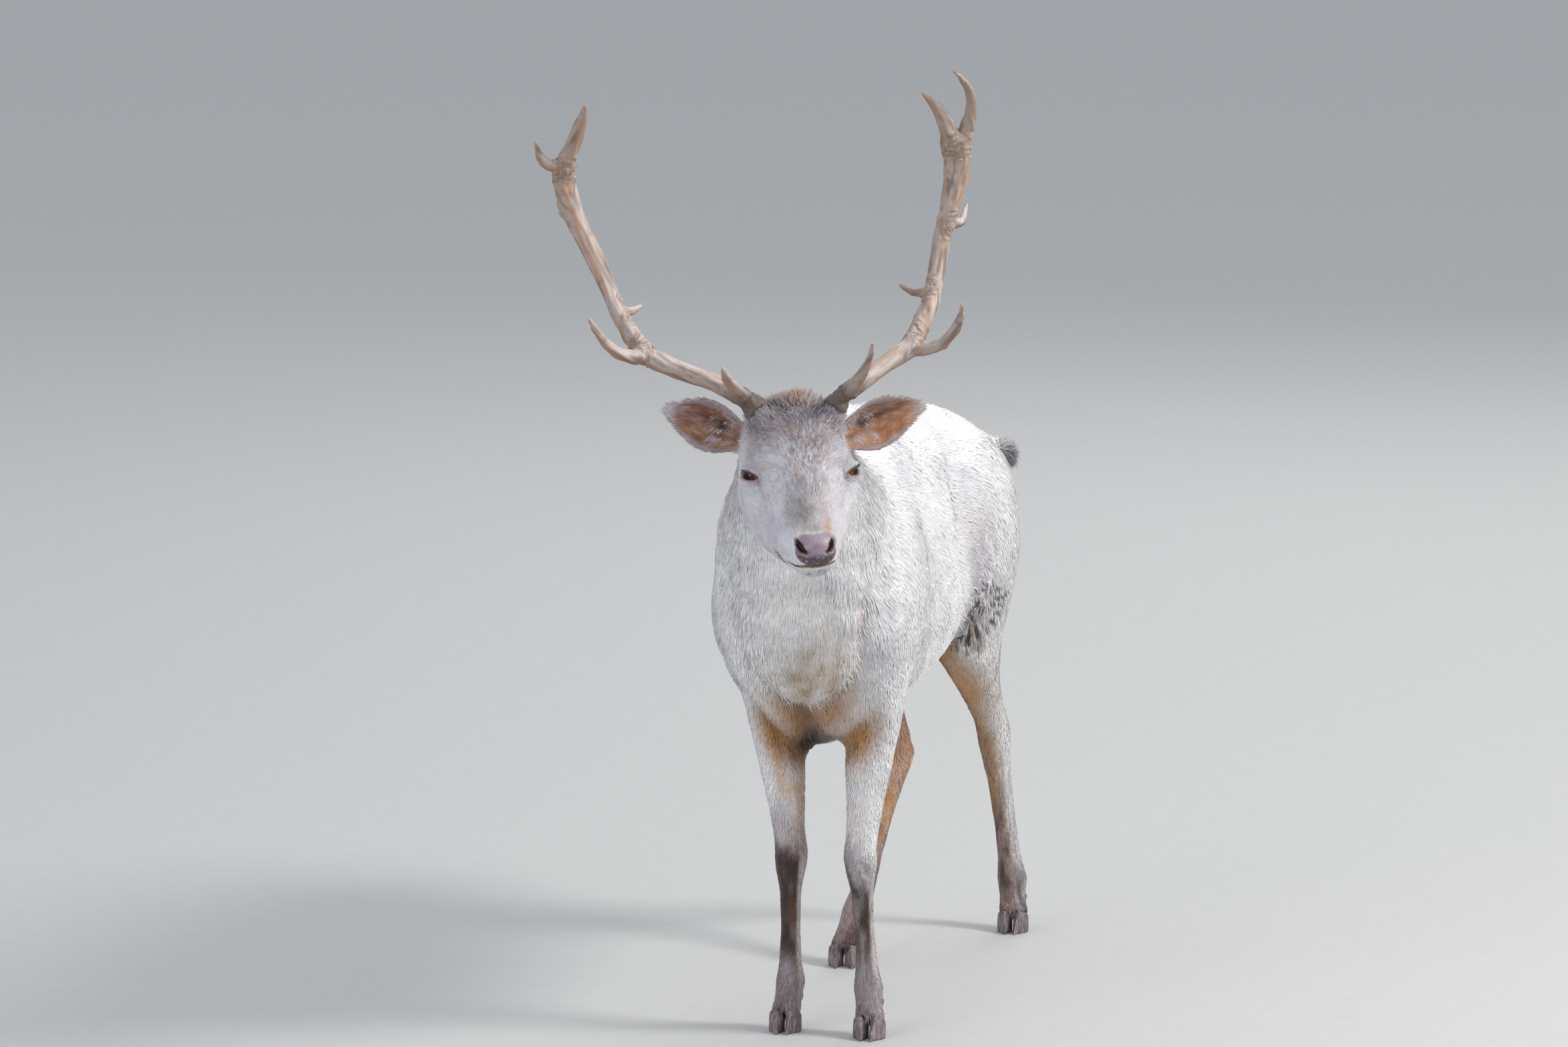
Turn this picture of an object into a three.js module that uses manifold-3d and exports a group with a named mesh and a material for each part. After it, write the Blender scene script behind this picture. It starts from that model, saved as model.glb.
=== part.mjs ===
// A fallow deer buck, life size, standing with its head turned a little to its left.
// Millimetres, +Z up. The deer faces -Y and its left side is +X. All four feet stand on Z = 0.
import * as THREE from "three";
import { mergeVertices } from "three/addons/utils/BufferGeometryUtils.js";
import Module from "manifold-3d";

const wasm = await Module();
wasm.setup();

// ---- Driving dimensions ----------------------------------------------------------------------

const GAP = 0.4; // clearance between neighbouring solids
const WITHERS = 847; // height of the back over the shoulders
const CORONET = 30; // height at which a hoof's horn begins

const HEAD_AT = new THREE.Vector3(20, -280, 800); // between the eyes: the head's own origin
const HEAD_TURN = THREE.MathUtils.degToRad(21.5); // to the deer's left
const HEAD_PITCH = THREE.MathUtils.degToRad(29); // nose down
const HEAD_ROLL = THREE.MathUtils.degToRad(-1.5); // left side up

const EYE_RADIUS = 17.5;
const EYE_AT = [59, 3, 1]; // the left eyeball's centre, in the head's own frame
const SIDES = { left: 1, right: -1 };

// ---- Finishes --------------------------------------------------------------------------------

const finish = (color, roughness) => new THREE.MeshStandardMaterial({ color, roughness, metalness: 0 });
const COAT = finish(0xe9e4da, 0.9);
const LEG_COAT = finish(0xcabfae, 0.9);
const EAR_COAT = finish(0xb58a66, 0.9);
const HORN = finish(0x3b332c, 0.6);
const ANTLER = finish(0xa08a75, 0.65);
const EYE = finish(0x2a160c, 0.1);

// ---- Shape helpers ---------------------------------------------------------------------------

// A Catmull-Rom value at t along a row of numbers, where t runs from 0 to the last index.
function along(values, t) {
  const i = Math.min(Math.floor(t), values.length - 2);
  const f = t - i;
  const at = (k) => values[Math.max(0, Math.min(values.length - 1, k))];
  const [a, b, c, d] = [at(i - 1), at(i), at(i + 1), at(i + 2)];
  return b + 0.5 * f * (c - a + f * (2 * a - 5 * b + 4 * c - d + f * (3 * (b - c) + d - a)));
}

// The five radii of an egg-shaped section: up, diagonal, side, diagonal, down.
// A fullness of 1 is a true ellipse on the diagonal; more is squarer, less is leaner.
function egg(up, side, down, fullUp = 1, fullDown = 1) {
  const diagonal = (a, b) => (a * b) / Math.sqrt((a * a + b * b) / 2);
  return [up, diagonal(up, side) * fullUp, side, diagonal(side, down) * fullDown, down];
}

// A section's radius at an angle from its up direction, smooth round the whole outline.
function radiusAt(five, angle) {
  const turn = Math.abs(THREE.MathUtils.euclideanModulo(angle + Math.PI, 2 * Math.PI) - Math.PI);
  const mirrored = [five[1], ...five, five[3]];
  return along(mirrored, 1 + (turn / Math.PI) * 4);
}

// A closed surface through rings of points. Its ends are fans round a middle point, or, for a
// crescent whose second half runs back along its first, strips from one wall to the other.
function skinOver(rings, crescent = false) {
  const n = rings[0].length;
  const centre = (ring) =>
    ring.reduce((sum, p) => sum.add(p), new THREE.Vector3()).divideScalar(ring.length);
  const points = rings.flat();
  const faces = [];
  for (let k = 0; k < rings.length - 1; k++) {
    for (let i = 0; i < n; i++) {
      const [a, b] = [k * n + i, k * n + ((i + 1) % n)];
      faces.push(a, b, b + n, a, b + n, a + n);
    }
  }
  for (const [ring, first, turned] of [[rings[0], 0, true], [rings.at(-1), points.length - n, false]]) {
    const cap = [];
    if (crescent) {
      for (let i = 0; i < n / 2 - 1; i++) cap.push([i, i + 1, n - 2 - i], [i, n - 2 - i, n - 1 - i]);
    } else {
      points.push(centre(ring));
      for (let i = 0; i < n; i++) cap.push([points.length - 1 - first, i, (i + 1) % n]);
    }
    for (const [a, b, c] of cap) faces.push(first + a, first + (turned ? c : b), first + (turned ? b : c));
  }
  return solidFrom(points.flatMap((p) => p.toArray()), faces);
}

function solidFrom(positions, faces) {
  const made = new wasm.Manifold(
    new wasm.Mesh({
      numProp: 3,
      vertProperties: new Float32Array(positions),
      triVerts: new Uint32Array(faces),
    }),
  );
  if (made.volume() > 0) return made;
  const turned = faces.map((v, i) => faces[i - (i % 3) + [0, 2, 1][i % 3]]);
  return solidFrom(positions, turned);
}

// A tapering limb through stations [x, y, z, ...five radii]. Each ring lies square to the path, or
// flat if the limb is level, with its up direction as near to the given one as that allows. grow
// fattens every radius.
function limb(stations, { sides, steps, up, grow = 0, level = false }) {
  const column = (c) => stations.map((s) => s[c]);
  const columns = stations[0].map((_, c) => column(c));
  const last = stations.length - 1;
  const pointAt = (t) => new THREE.Vector3(...[0, 1, 2].map((c) => along(columns[c], t)));
  const rings = [];
  for (let k = 0; k <= last * steps; k++) {
    const t = k / steps;
    const [before, after] = [Math.max(0, t - 0.02), Math.min(last, t + 0.02)];
    const forward = level ? axis(0, 0, -1) : pointAt(after).sub(pointAt(before)).normalize();
    const side = new THREE.Vector3().crossVectors(forward, up).normalize();
    const top = new THREE.Vector3().crossVectors(side, forward);
    const five = [3, 4, 5, 6, 7].map((c) => along(columns[c], t) + grow);
    const overrun = k === 0 ? -grow : k === last * steps ? grow : 0;
    const middle = pointAt(t).addScaledVector(forward, overrun);
    const ring = [];
    for (let i = 0; i < sides; i++) {
      const angle = (i / sides) * 2 * Math.PI;
      const r = Math.max(radiusAt(five, angle), 0.8);
      ring.push(
        middle
          .clone()
          .addScaledVector(top, r * Math.cos(angle))
          .addScaledVector(side, r * Math.sin(angle)),
      );
    }
    rings.push(ring);
  }
  return skinOver(rings);
}

const unite = (solids) => solids.reduce((a, b) => a.add(b));
const axis = (x, y, z) => new THREE.Vector3(x, y, z);

// Cuts a solid at a plane through a point, and gives [the side the normal points to, the other].
function part(solid, point, normal) {
  const n = normal.clone().normalize();
  const at = n.dot(point);
  return [
    solid.trimByPlane(n.toArray(), at + GAP / 2),
    solid.trimByPlane(n.clone().negate().toArray(), -at + GAP / 2),
  ];
}

// ---- The head's own frame: X to its left, -Y to the nose, Z up through the forehead -----------

const headFrame = new THREE.Matrix4()
  .makeTranslation(HEAD_AT)
  .multiply(new THREE.Matrix4().makeRotationZ(HEAD_TURN))
  .multiply(new THREE.Matrix4().makeRotationX(HEAD_PITCH))
  .multiply(new THREE.Matrix4().makeRotationY(HEAD_ROLL));
const onHead = (solid) => solid.transform(headFrame.toArray());
const headPoint = (x, y, z) => axis(x, y, z).applyMatrix4(headFrame);
const headAxis = (x, y, z) => axis(x, y, z).transformDirection(headFrame);

// ---- Head ------------------------------------------------------------------------------------

// From the back of the skull to the nose: y, the section's own middle across and up, then top,
// side and bottom reach from it, and how full the brow and jaw diagonals are. The jaw is swung a
// little to the deer's right, as it is in chewing.
const SKULL = [
  [112, 0, -8, 52, 54, 60, 1, 1],
  [86, 0, -8, 74, 68, 74, 0.98, 1],
  [58, 0, -10, 77, 73, 82, 1, 1],
  [30, 0, -12, 72, 76, 86, 1.04, 1.04],
  [4, 0, -16, 66, 78, 82, 1.06, 1.1],
  [-24, -2, -20, 60, 72, 70, 0.98, 1.2],
  [-56, -5, -22, 53, 58, 60, 0.94, 1.24],
  [-88, -6, -22, 44, 47, 49, 0.96, 1.18],
  [-116, -5, -20, 37, 40, 41, 1, 1.06],
  [-137, -3, -17, 32, 35, 37, 1.03, 1],
  [-151, -2, -13, 25, 30, 33, 1.05, 0.94],
  [-161, -2, -9, 13, 19, 16, 1, 1],
];

function skull() {
  const stations = SKULL.map(([y, x, z, up, side, down, fullUp, fullDown]) => [
    x, y, z, ...egg(up, side, down, fullUp, fullDown),
  ]);
  return limb(stations, { sides: 16, steps: 1, up: axis(0, 0, 1) });
}

// The fleshy stalk that an antler grows from.
function pedicle(side) {
  const stations = [
    [side * 42, 60, 38, ...egg(20, 20, 20)],
    [side * 50, 64, 58, ...egg(17, 17, 17)],
    [side * 57, 68, 70, ...egg(15, 15, 15)],
  ];
  return limb(stations, { sides: 8, steps: 1, up: axis(0, 1, 0) });
}

// ---- Ears: a leaf-shaped cup, open to the front -------------------------------------------------

const EAR_LENGTH = 128;
const EAR_WALL = 6;
const EAR_HALF_WIDTH = [17, 25, 32, 34, 31, 24, 14, 4]; // from the root to the tip
const EAR_HOLLOW = [12, 20, 22, 18, 14, 10, 6, 2]; // how deep the cup is

// Moves each corner of a closed outline outward, square to its neighbours' chord.
function fatten(outline, grow) {
  const n = outline.length;
  return outline.map(([x, y], i) => {
    const [[ax, ay], [bx, by]] = [outline[(i + n - 1) % n], outline[(i + 1) % n]];
    const chord = Math.hypot(bx - ax, by - ay);
    return [x - ((by - ay) / chord) * grow, y + ((bx - ax) / chord) * grow];
  });
}

// The cup is swept along the ear, and each ring is a crescent: its back wall, then its front wall.
function ear(root, tip, facing, grow = 0) {
  const direction = tip.clone().sub(root).normalize();
  const across = new THREE.Vector3().crossVectors(direction, facing).normalize();
  const out = new THREE.Vector3().crossVectors(across, direction);
  const rings = [];
  const [rows, half] = [8, 6];
  for (let k = 0; k <= rows; k++) {
    const t = (k / rows) * (EAR_HALF_WIDTH.length - 1);
    const [width, hollow] = [along(EAR_HALF_WIDTH, t), along(EAR_HOLLOW, t)];
    const wall = EAR_WALL * (1 - 0.5 * (k / rows));
    const outline = [];
    for (let i = 0; i < 2 * half; i++) {
      const front = i >= half;
      const u = (2 * (front ? 2 * half - 1 - i : i)) / (half - 1) - 1; // -1 to 1 across the ear
      const slope = (2 * hollow * u) / width;
      const reach = ((front ? 0.5 : -0.5) * wall * (1 - 0.5 * u ** 4)) / Math.hypot(1, slope);
      outline.push([u * width - slope * reach, -hollow * (1 - u * u) + reach]);
    }
    const middle = root.clone().lerp(tip, k / rows);
    rings.push(
      fatten(outline, -2 * grow).map(([u, v]) =>
        middle.clone().addScaledVector(across, u).addScaledVector(out, v),
      ),
    );
  }
  if (grow > 0) {
    const shifted = (ring, by) => ring.map((p) => p.clone().addScaledVector(direction, by));
    return skinOver([shifted(rings[0], -2 * grow), ...rings, shifted(rings.at(-1), 2 * grow)], true);
  }
  return skinOver(rings, true);
}

const EARS = {
  left: { root: [70, 70, 7], tip: [187, 138, 2], facing: [-0.15, -1, 0.35] },
  right: { root: [-68, 70, 12], tip: [-160, 138, 15], facing: [0.15, -1, 0.35] },
};

function earOf(name, grow = 0) {
  const { root, tip, facing } = EARS[name];
  return ear(headPoint(...root), headPoint(...tip), headAxis(...facing), grow);
}

// ---- Antlers: beams and tines as [x, y, z, radius, half width] along each, in the head's frame ---------------

const ANTLERS = {
  right: {
    beam_lower: [
      [-55, 66, 66, 15], [-66, 76, 73, 12.5], [-103, 100, 83, 11.5], [-149, 124, 88, 12],
      [-182, 140, 97, 13.5], [-200, 158, 110, 13],
    ],
    beam_upper: [
      [-200, 158, 110, 13], [-219, 200, 130, 11.5], [-230, 232, 152, 11.5], [-244, 262, 176, 12.5],
      [-260, 287, 201, 13], [-271, 304, 226, 15], [-281, 317, 258, 15], [-280, 325, 286, 14, 17],
    ],
    brow_tine: [[-60, 66, 72, 11], [-86, 54, 109, 8], [-100, 46, 134, 6], [-105, 44, 151, 2]],
    trez_tine: [
      [-186, 142, 98, 11], [-208, 136, 103, 10], [-228, 132, 114, 8.5], [-247, 128, 135, 7],
      [-262, 128, 160, 5], [-270, 130, 174, 2],
    ],
    inner_tine: [[-216, 200, 130, 7], [-198, 212, 122, 5.5], [-183, 224, 122, 2.5]],
    back_spur: [[-268, 300, 210, 8], [-280, 322, 206, 6], [-284, 340, 217, 2.5]],
    crown_outer: [[-282, 322, 280, 11], [-300, 322, 284, 8], [-314, 320, 300, 6], [-321, 320, 327, 2.5]],
    crown_inner: [[-280, 324, 284, 13], [-271, 325, 312, 11], [-262, 324, 346, 8], [-257, 319, 380, 2.5]],
  },
  left: {
    beam_lower: [
      [53, 66, 63, 15], [64, 76, 71, 12.5], [100, 98, 82, 12], [131, 122, 87, 12],
      [160, 146, 88, 13.5], [176, 166, 100, 13],
    ],
    beam_upper: [
      [176, 166, 100, 13], [198, 202, 123, 11.5], [209, 233, 146, 11.5], [218, 262, 174, 12],
      [230, 284, 212, 13], [239, 302, 243, 13, 16], [241, 313, 274, 13, 19], [238, 320, 304, 13, 22],
    ],
    brow_tine: [[56, 66, 70, 12], [74, 54, 104, 9.5], [87, 44, 143, 6.5], [91, 40, 181, 2]],
    trez_tine: [
      [163, 147, 90, 11], [185, 140, 93, 10], [205, 134, 104, 8.5], [219, 130, 134, 7],
      [224, 129, 155, 5], [224, 130, 173, 2.5],
    ],
    inner_tine: [[200, 212, 130, 7.5], [178, 226, 122, 6], [162, 240, 126, 3]],
    back_spur: [[233, 276, 198, 8], [252, 302, 178, 6], [265, 338, 182, 2.5]],
    crown_outer: [
      [250, 320, 300, 11], [256, 325, 330, 8.5], [256, 324, 358, 7.5], [245, 319, 390, 5.5],
      [226, 309, 418, 2],
    ],
    crown_inner: [[234, 320, 296, 14], [226, 320, 320, 12], [212, 320, 350, 8.5], [188, 310, 383, 2.5]],
  },
};
// Which piece each tine is cut clear of, in the order in which they are made.
const GROWS_FROM = {
  beam_lower: [],
  beam_upper: [],
  brow_tine: ["beam_lower"],
  trez_tine: ["beam_lower", "beam_upper"],
  inner_tine: ["beam_upper"],
  back_spur: ["beam_upper"],
  crown_outer: ["beam_upper"],
  crown_inner: ["beam_upper", "crown_outer"],
};

function horn(path, sides, grow = 0) {
  const stations = path.map(([x, y, z, r, wide = r]) => [x, y, z, ...egg(r, wide, r)]);
  return limb(stations, { sides, steps: path.length > 5 ? 1 : 2, up: axis(0, 1, 0.2), grow });
}

// The knobbly ring at an antler's foot.
function burr([x, y, z], [x2, y2, z2], grow = 0) {
  const way = axis(x2 - x, y2 - y, z2 - z).normalize();
  const profile = [[-7, 14], [-5, 21], [0, 23], [5, 20], [8, 12]];
  const stations = profile.map(([s, r]) => [x + way.x * s, y + way.y * s, z + way.z * s, ...egg(r, r, r)]);
  return limb(stations, { sides: 8, steps: 1, up: axis(0, 1, 0.2), grow });
}

function antler(side) {
  const paths = ANTLERS[side];
  const tineSides = 6;
  const beamSides = 8;
  const made = {};
  for (const [name, path] of Object.entries(paths)) {
    const isBeam = name.startsWith("beam");
    let solid = horn(path, isBeam ? beamSides : tineSides);
    if (name === "beam_lower") solid = unite([solid, burr(path[0], path[1])]);
    for (const root of GROWS_FROM[name]) {
      const rootSides = root.startsWith("beam") ? beamSides : tineSides;
      solid = solid.subtract(horn(paths[root], rootSides, GAP));
      if (name === "brow_tine") solid = solid.subtract(burr(paths[root][0], paths[root][1], GAP));
    }
    made[name] = solid;
  }
  const fork = axis(...paths.beam_upper[0]);
  const onward = axis(...paths.beam_upper[1]).sub(axis(...paths.beam_lower.at(-2)));
  made.beam_lower = part(made.beam_lower, fork, onward)[1];
  made.beam_upper = part(made.beam_upper, fork, onward)[0];
  return made;
}

// The space an antler's foot takes in the head.
function antlerFoot(side) {
  const { beam_lower: beam, brow_tine: brow } = ANTLERS[side];
  return unite([burr(beam[0], beam[1], GAP), horn(beam.slice(0, 3), 8, GAP)]);
}

// ---- Trunk, neck and tail -----------------------------------------------------------------------

// From the breast to the buttocks: y, the spine's sideways place, top, widest level, bottom, half
// width, and how full the section is above and below.
const TRUNK = [
  [-138, -2, 600, 560, 522, 30, 1, 1],
  [-118, -4, 650, 568, 486, 78, 1, 1],
  [-70, -10, 740, 580, 432, 120, 0.98, 1],
  [0, -17, 818, 590, 388, 136, 0.96, 1],
  [90, -22, WITHERS, 595, 376, 146, 0.94, 1.02],
  [180, -28, WITHERS - 4, 598, 378, 152, 0.94, 1.02],
  [300, -36, WITHERS - 29, 595, 384, 154, 0.95, 1.05],
  [420, -40, WITHERS - 43, 592, 400, 152, 0.94, 1.08],
  [530, -32, WITHERS - 51, 604, 438, 148, 0.92, 1.06],
  [620, -14, WITHERS - 59, 618, 490, 142, 0.92, 1],
  [700, 0, WITHERS - 77, 632, 520, 132, 0.95, 1],
  [768, 5, WITHERS - 110, 635, 540, 114, 0.98, 1],
  [812, 7, 704, 632, 560, 82, 1, 1],
  [836, 7, 664, 628, 588, 36, 1, 1],
];

function trunk() {
  const stations = TRUNK.map(([y, x, top, middle, bottom, half, fullUp, fullDown]) => [
    x, y, middle, ...egg(top - middle, half, middle - bottom, fullUp, fullDown),
  ]);
  return limb(stations, { sides: 16, steps: 1, up: axis(0, 0, 1) });
}

// From inside the skull to inside the chest: a buck's thick autumn neck.
const NECK = [
  [0, -232, 806, 66, 62, 66],
  [-8, -180, 786, 86, 80, 96],
  [-12, -120, 748, 104, 94, 132],
  [-18, -60, 702, 128, 114, 178],
  [-22, 0, 662, 176, 130, 208],
  [-22, 70, 630, 205, 134, 200],
];

function neck() {
  const stations = NECK.map(([x, y, z, up, side, down]) => [x, y, z, ...egg(up, side, down, 1, 0.94)]);
  return limb(stations, { sides: 16, steps: 1, up: axis(0, 0, 1) });
}

const TAIL = [
  [4, 776, 700, 16, 22],
  [8, 810, 698, 18, 26],
  [14, 842, 690, 18, 27],
  [30, 874, 683, 17, 25],
  [56, 892, 680, 14, 20],
  [76, 893, 673, 11, 15],
  [90, 886, 664, 4, 5],
];

function tail(from = 0, grow = 0) {
  const stations = TAIL.slice(from).map(([x, y, z, thick, wide]) => [x, y, z, ...egg(thick, wide, thick)]);
  return limb(stations, { sides: 8, steps: 1, up: axis(0, -0.5, 1), grow });
}
const TAIL_EXTRA = 5; // how much wider the tail's share of the body is than the tail

// ---- Legs: joints first, then the flesh round the bones -----------------------------------------

// The joints of each leg from the body down.
const JOINTS = {
  front_left: { top: [62, 60, 680], elbow: [58, 28, 452], knee: [45, 2, 250], fetlock: [54, 12, 66], toe: [59, -36, 0] },
  front_right: { top: [-95, 60, 680], elbow: [-77, 30, 452], knee: [-51, 10, 250], fetlock: [-57, 34, 66], toe: [-61, -12, 0] },
  hind_left: { top: [82, 660, 690], elbow: [70, 640, 440], knee: [79, 800, 290], fetlock: [106, 808, 74], toe: [111, 758, 0] },
  hind_right: { top: [-80, 650, 690], elbow: [-60, 560, 450], knee: [-32, 665, 275], fetlock: [-60, 514, 72], toe: [-74, 462, 0] },
};
// The last joint is where the pastern enters the hoof, behind and above the toe's tip.
const CORONET_BACK = 34;
for (const joints of Object.values(JOINTS)) {
  const [x, y] = joints.toe;
  joints.coronet = [x, y + CORONET_BACK, CORONET - 8];
}

// Flesh as [bone, share of the way along it, front, side, back reach].
const FRONT_FLESH = [
  ["top", -0.1, 36, 26, 44],
  ["top", 0.2, 76, 46, 88],
  ["top", 0.55, 92, 52, 100],
  ["top", 0.85, 76, 46, 82],
  ["elbow", 0.1, 56, 41, 60],
  ["elbow", 0.35, 40, 35, 42],
  ["elbow", 0.65, 29, 28, 31],
  ["elbow", 0.88, 23, 24, 24],
  ["knee", 0.0, 25, 24.5, 23],
  ["knee", 0.12, 21, 22, 22],
  ["knee", 0.3, 15.5, 16, 19],
  ["knee", 0.6, 14, 14, 18.5],
  ["knee", 0.85, 16, 16, 20],
  ["fetlock", 0.0, 19, 19.5, 23],
  ["fetlock", 0.5, 16, 19, 17.5],
  ["fetlock", 1.0, 18, 22, 16],
];
const HIND_FLESH = [
  ["top", -0.15, 40, 14, 50],
  ["top", 0.15, 96, 52, 104],
  ["top", 0.45, 122, 60, 124],
  ["top", 0.78, 100, 54, 108],
  ["elbow", 0.0, 76, 48, 84],
  ["elbow", 0.3, 50, 37, 56],
  ["elbow", 0.6, 33, 28, 36],
  ["elbow", 0.88, 27, 24, 34],
  ["knee", 0.0, 27, 25, 34],
  ["knee", 0.14, 23, 22, 27],
  ["knee", 0.35, 17, 17.5, 21],
  ["knee", 0.62, 15, 15.5, 19],
  ["knee", 0.86, 16.5, 17, 20.5],
  ["fetlock", 0.0, 19.5, 20.5, 24],
  ["fetlock", 0.5, 16.5, 19.5, 18],
  ["fetlock", 1.0, 18.5, 22, 16.5],
];
const NEXT_JOINT = { top: "elbow", elbow: "knee", knee: "fetlock", fetlock: "coronet" };

function leg(name, grow = 0) {
  const joints = JOINTS[name];
  const flesh = name.startsWith("front") ? FRONT_FLESH : HIND_FLESH;
  const stations = flesh.map(([bone, share, front, side, back]) => {
    const [from, to] = [axis(...joints[bone]), axis(...joints[NEXT_JOINT[bone]])];
    return [...from.lerp(to, share).toArray(), ...egg(front, side, back)];
  });
  return limb(stations, { sides: 10, steps: 1, up: axis(0, -1, 0), grow });
}

// The space a leg takes out of the body: the leg, a little fatter, and open to the outside.
const REGION_OUTWARD = 34;
const REGION_EXTRA = 8;
function legRegion(name, grow) {
  const joints = JOINTS[name];
  const outward = Math.sign(joints.top[0]);
  const flesh = (name.startsWith("front") ? FRONT_FLESH : HIND_FLESH).filter(
    ([bone, share]) => bone === "top" || (bone === "elbow" && share < 0.7),
  );
  const stations = flesh.map(([bone, share, front, side, back]) => {
    const [from, to] = [axis(...joints[bone]), axis(...joints[NEXT_JOINT[bone]])];
    const [x, y, z] = from.lerp(to, share).toArray();
    const upper = bone === "top" ? REGION_OUTWARD : REGION_OUTWARD * (1 - share);
    const lean = bone === "top" ? 1.14 : 1.35;
    const [ahead, half, behind] = [front * lean, side + upper, back * lean].map((r) => r + REGION_EXTRA);
    return [x + outward * upper, y, z, ...egg(ahead, half, behind, 1.06, 1.06)];
  });
  for (const joint of ["knee", "fetlock", "toe"]) stations.push([...joints[joint], ...egg(60, 40, 60)]);
  stations.push([joints.toe[0], joints.toe[1] + 20, -30, ...egg(60, 40, 60)]);
  return limb(stations, { sides: 8, steps: 1, up: axis(0, -1, 0), grow, level: true });
}

// ---- Hooves and dewclaws ------------------------------------------------------------------------

// One toe of a cloven hoof: a flat sole, a sloping front wall and a rounded heel.
const TOE = [
  // height, y from the toe's tip, front, side, back reach
  [0, 34, 34, 10.5, 14],
  [10, 34, 29, 10.5, 14],
  [22, 35, 22, 10, 12],
  [34, 36, 14, 9, 9],
];
const TOE_SPREAD = 11.6; // from the foot's midline to a toe's middle

function hoofToe(name, inward) {
  const [x, y] = JOINTS[name].toe;
  const stations = TOE.map(([z, back, front, side, heel]) => [
    x + inward * TOE_SPREAD, y + back, z, ...egg(front, side, heel, 1.05, 1),
  ]);
  return limb(stations, { sides: 8, steps: 1, up: axis(0, -1, 0), level: true });
}

const DEWCLAW_HEIGHT = 46;
function dewclaw(name, inward, grow = 0) {
  const { coronet, fetlock } = JOINTS[name];
  const share = (fetlock[2] - DEWCLAW_HEIGHT) / (fetlock[2] - coronet[2]);
  const at = axis(...fetlock).lerp(axis(...coronet), share);
  const stations = [
    [at.x + inward * 10, at.y + 12, DEWCLAW_HEIGHT + 5, ...egg(5.5, 5.5, 5.5)],
    [at.x + inward * 12, at.y + 20, DEWCLAW_HEIGHT - 1, ...egg(6.5, 6, 6.5)],
    [at.x + inward * 13, at.y + 25, DEWCLAW_HEIGHT - 10, ...egg(2, 2, 2)],
  ];
  return limb(stations, { sides: 6, steps: 1, up: axis(0, -1, 0), grow });
}

// ---- Eyes ---------------------------------------------------------------------------------------

function eye(side, grow = 0) {
  const ball = new THREE.SphereGeometry(EYE_RADIUS + grow, 10, 6);
  ball.deleteAttribute("normal");
  ball.deleteAttribute("uv");
  const welded = mergeVertices(ball, 1e-3);
  const made = solidFrom([...welded.attributes.position.array], [...welded.index.array]);
  return onHead(made.translate([side * EYE_AT[0], EYE_AT[1], EYE_AT[2]]));
}

// The gap between the lids: an almond that widens outward from the eyeball's middle.
function eyeOpening(side) {
  const [x, y, z] = EYE_AT;
  const way = axis(side * 0.72, -0.56, 0.4).normalize();
  const reach = [[6, 14, 7], [22, 18, 9], [50, 30, 17]];
  const stations = reach.map(([s, wide, tall]) => [
    side * x + way.x * s, y + way.y * s, z + way.z * s, ...egg(tall, wide, tall),
  ]);
  return onHead(limb(stations, { sides: 10, steps: 1, up: axis(0, 0, 1) }));
}

// ---- Assembly -----------------------------------------------------------------------------------

const deer = new THREE.Group();

function add(name, solid, material) {
  const { numProp, vertProperties, triVerts } = mainBody(solid).getMesh();
  const count = vertProperties.length / numProp;
  const positions = new Float32Array(count * 3);
  for (let i = 0; i < count; i++) {
    positions.set(vertProperties.subarray(i * numProp, i * numProp + 3), i * 3);
  }
  const geometry = new THREE.BufferGeometry()
    .setAttribute("position", new THREE.BufferAttribute(positions, 3))
    .setIndex(new THREE.BufferAttribute(new Uint32Array(triVerts), 1));
  geometry.computeVertexNormals();
  const mesh = new THREE.Mesh(geometry, material);
  mesh.name = name;
  deer.add(mesh);
}

const LEGS = Object.keys(JOINTS);
const eachSide = (make) => Object.keys(SIDES).map(make);
// Where a leg's socket meets the groin it can leave crumbs, so each piece keeps its main body.
const mainBody = (solid) => solid.decompose().sort((a, b) => b.volume() - a.volume())[0];

// All of the flesh, joined. The planes below part it where a deer's body bends.
const flesh = unite([
  trunk(),
  neck(),
  tail(),
  onHead(skull()),
  ...eachSide((side) => onHead(pedicle(SIDES[side]))),
  ...LEGS.map((name) => leg(name)),
]);

let body = flesh;
for (const name of LEGS) body = body.subtract(legRegion(name, GAP));
const [headWhole, behindHead] = part(body, axis(-6, -204, 800), axis(0.16, -1, 0.1));
const withEarRoom = (solid) => eachSide((side) => side).reduce((s, side) => s.subtract(earOf(side, GAP)), solid);
const [neckPiece, behindNeck] = part(withEarRoom(behindHead), axis(0, -58, 680), axis(0, -0.865, 0.5));
const tailPiece = flesh.intersect(tail(2, TAIL_EXTRA));
const trunkPiece = behindNeck.subtract(tail(2, TAIL_EXTRA + GAP));

const antlers = { left: antler("left"), right: antler("right") };
let headPiece = withEarRoom(headWhole);
for (const side of Object.keys(SIDES)) {
  headPiece = headPiece
    .subtract(eye(SIDES[side], GAP))
    .subtract(eyeOpening(SIDES[side]))
    .subtract(onHead(antlerFoot(side)));
}

add("head", headPiece, COAT);
add("neck", neckPiece, COAT);
add("trunk", trunkPiece, COAT);
add("tail", tailPiece, COAT);
for (const side of Object.keys(SIDES)) {
  add(`ear_${side}`, earOf(side), EAR_COAT);
  add(`eye_${side}`, eye(SIDES[side]), EYE);
  for (const [name, solid] of Object.entries(antlers[side])) {
    add(`antler_${side}_${name}`, onHead(solid), ANTLER);
  }
}

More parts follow.
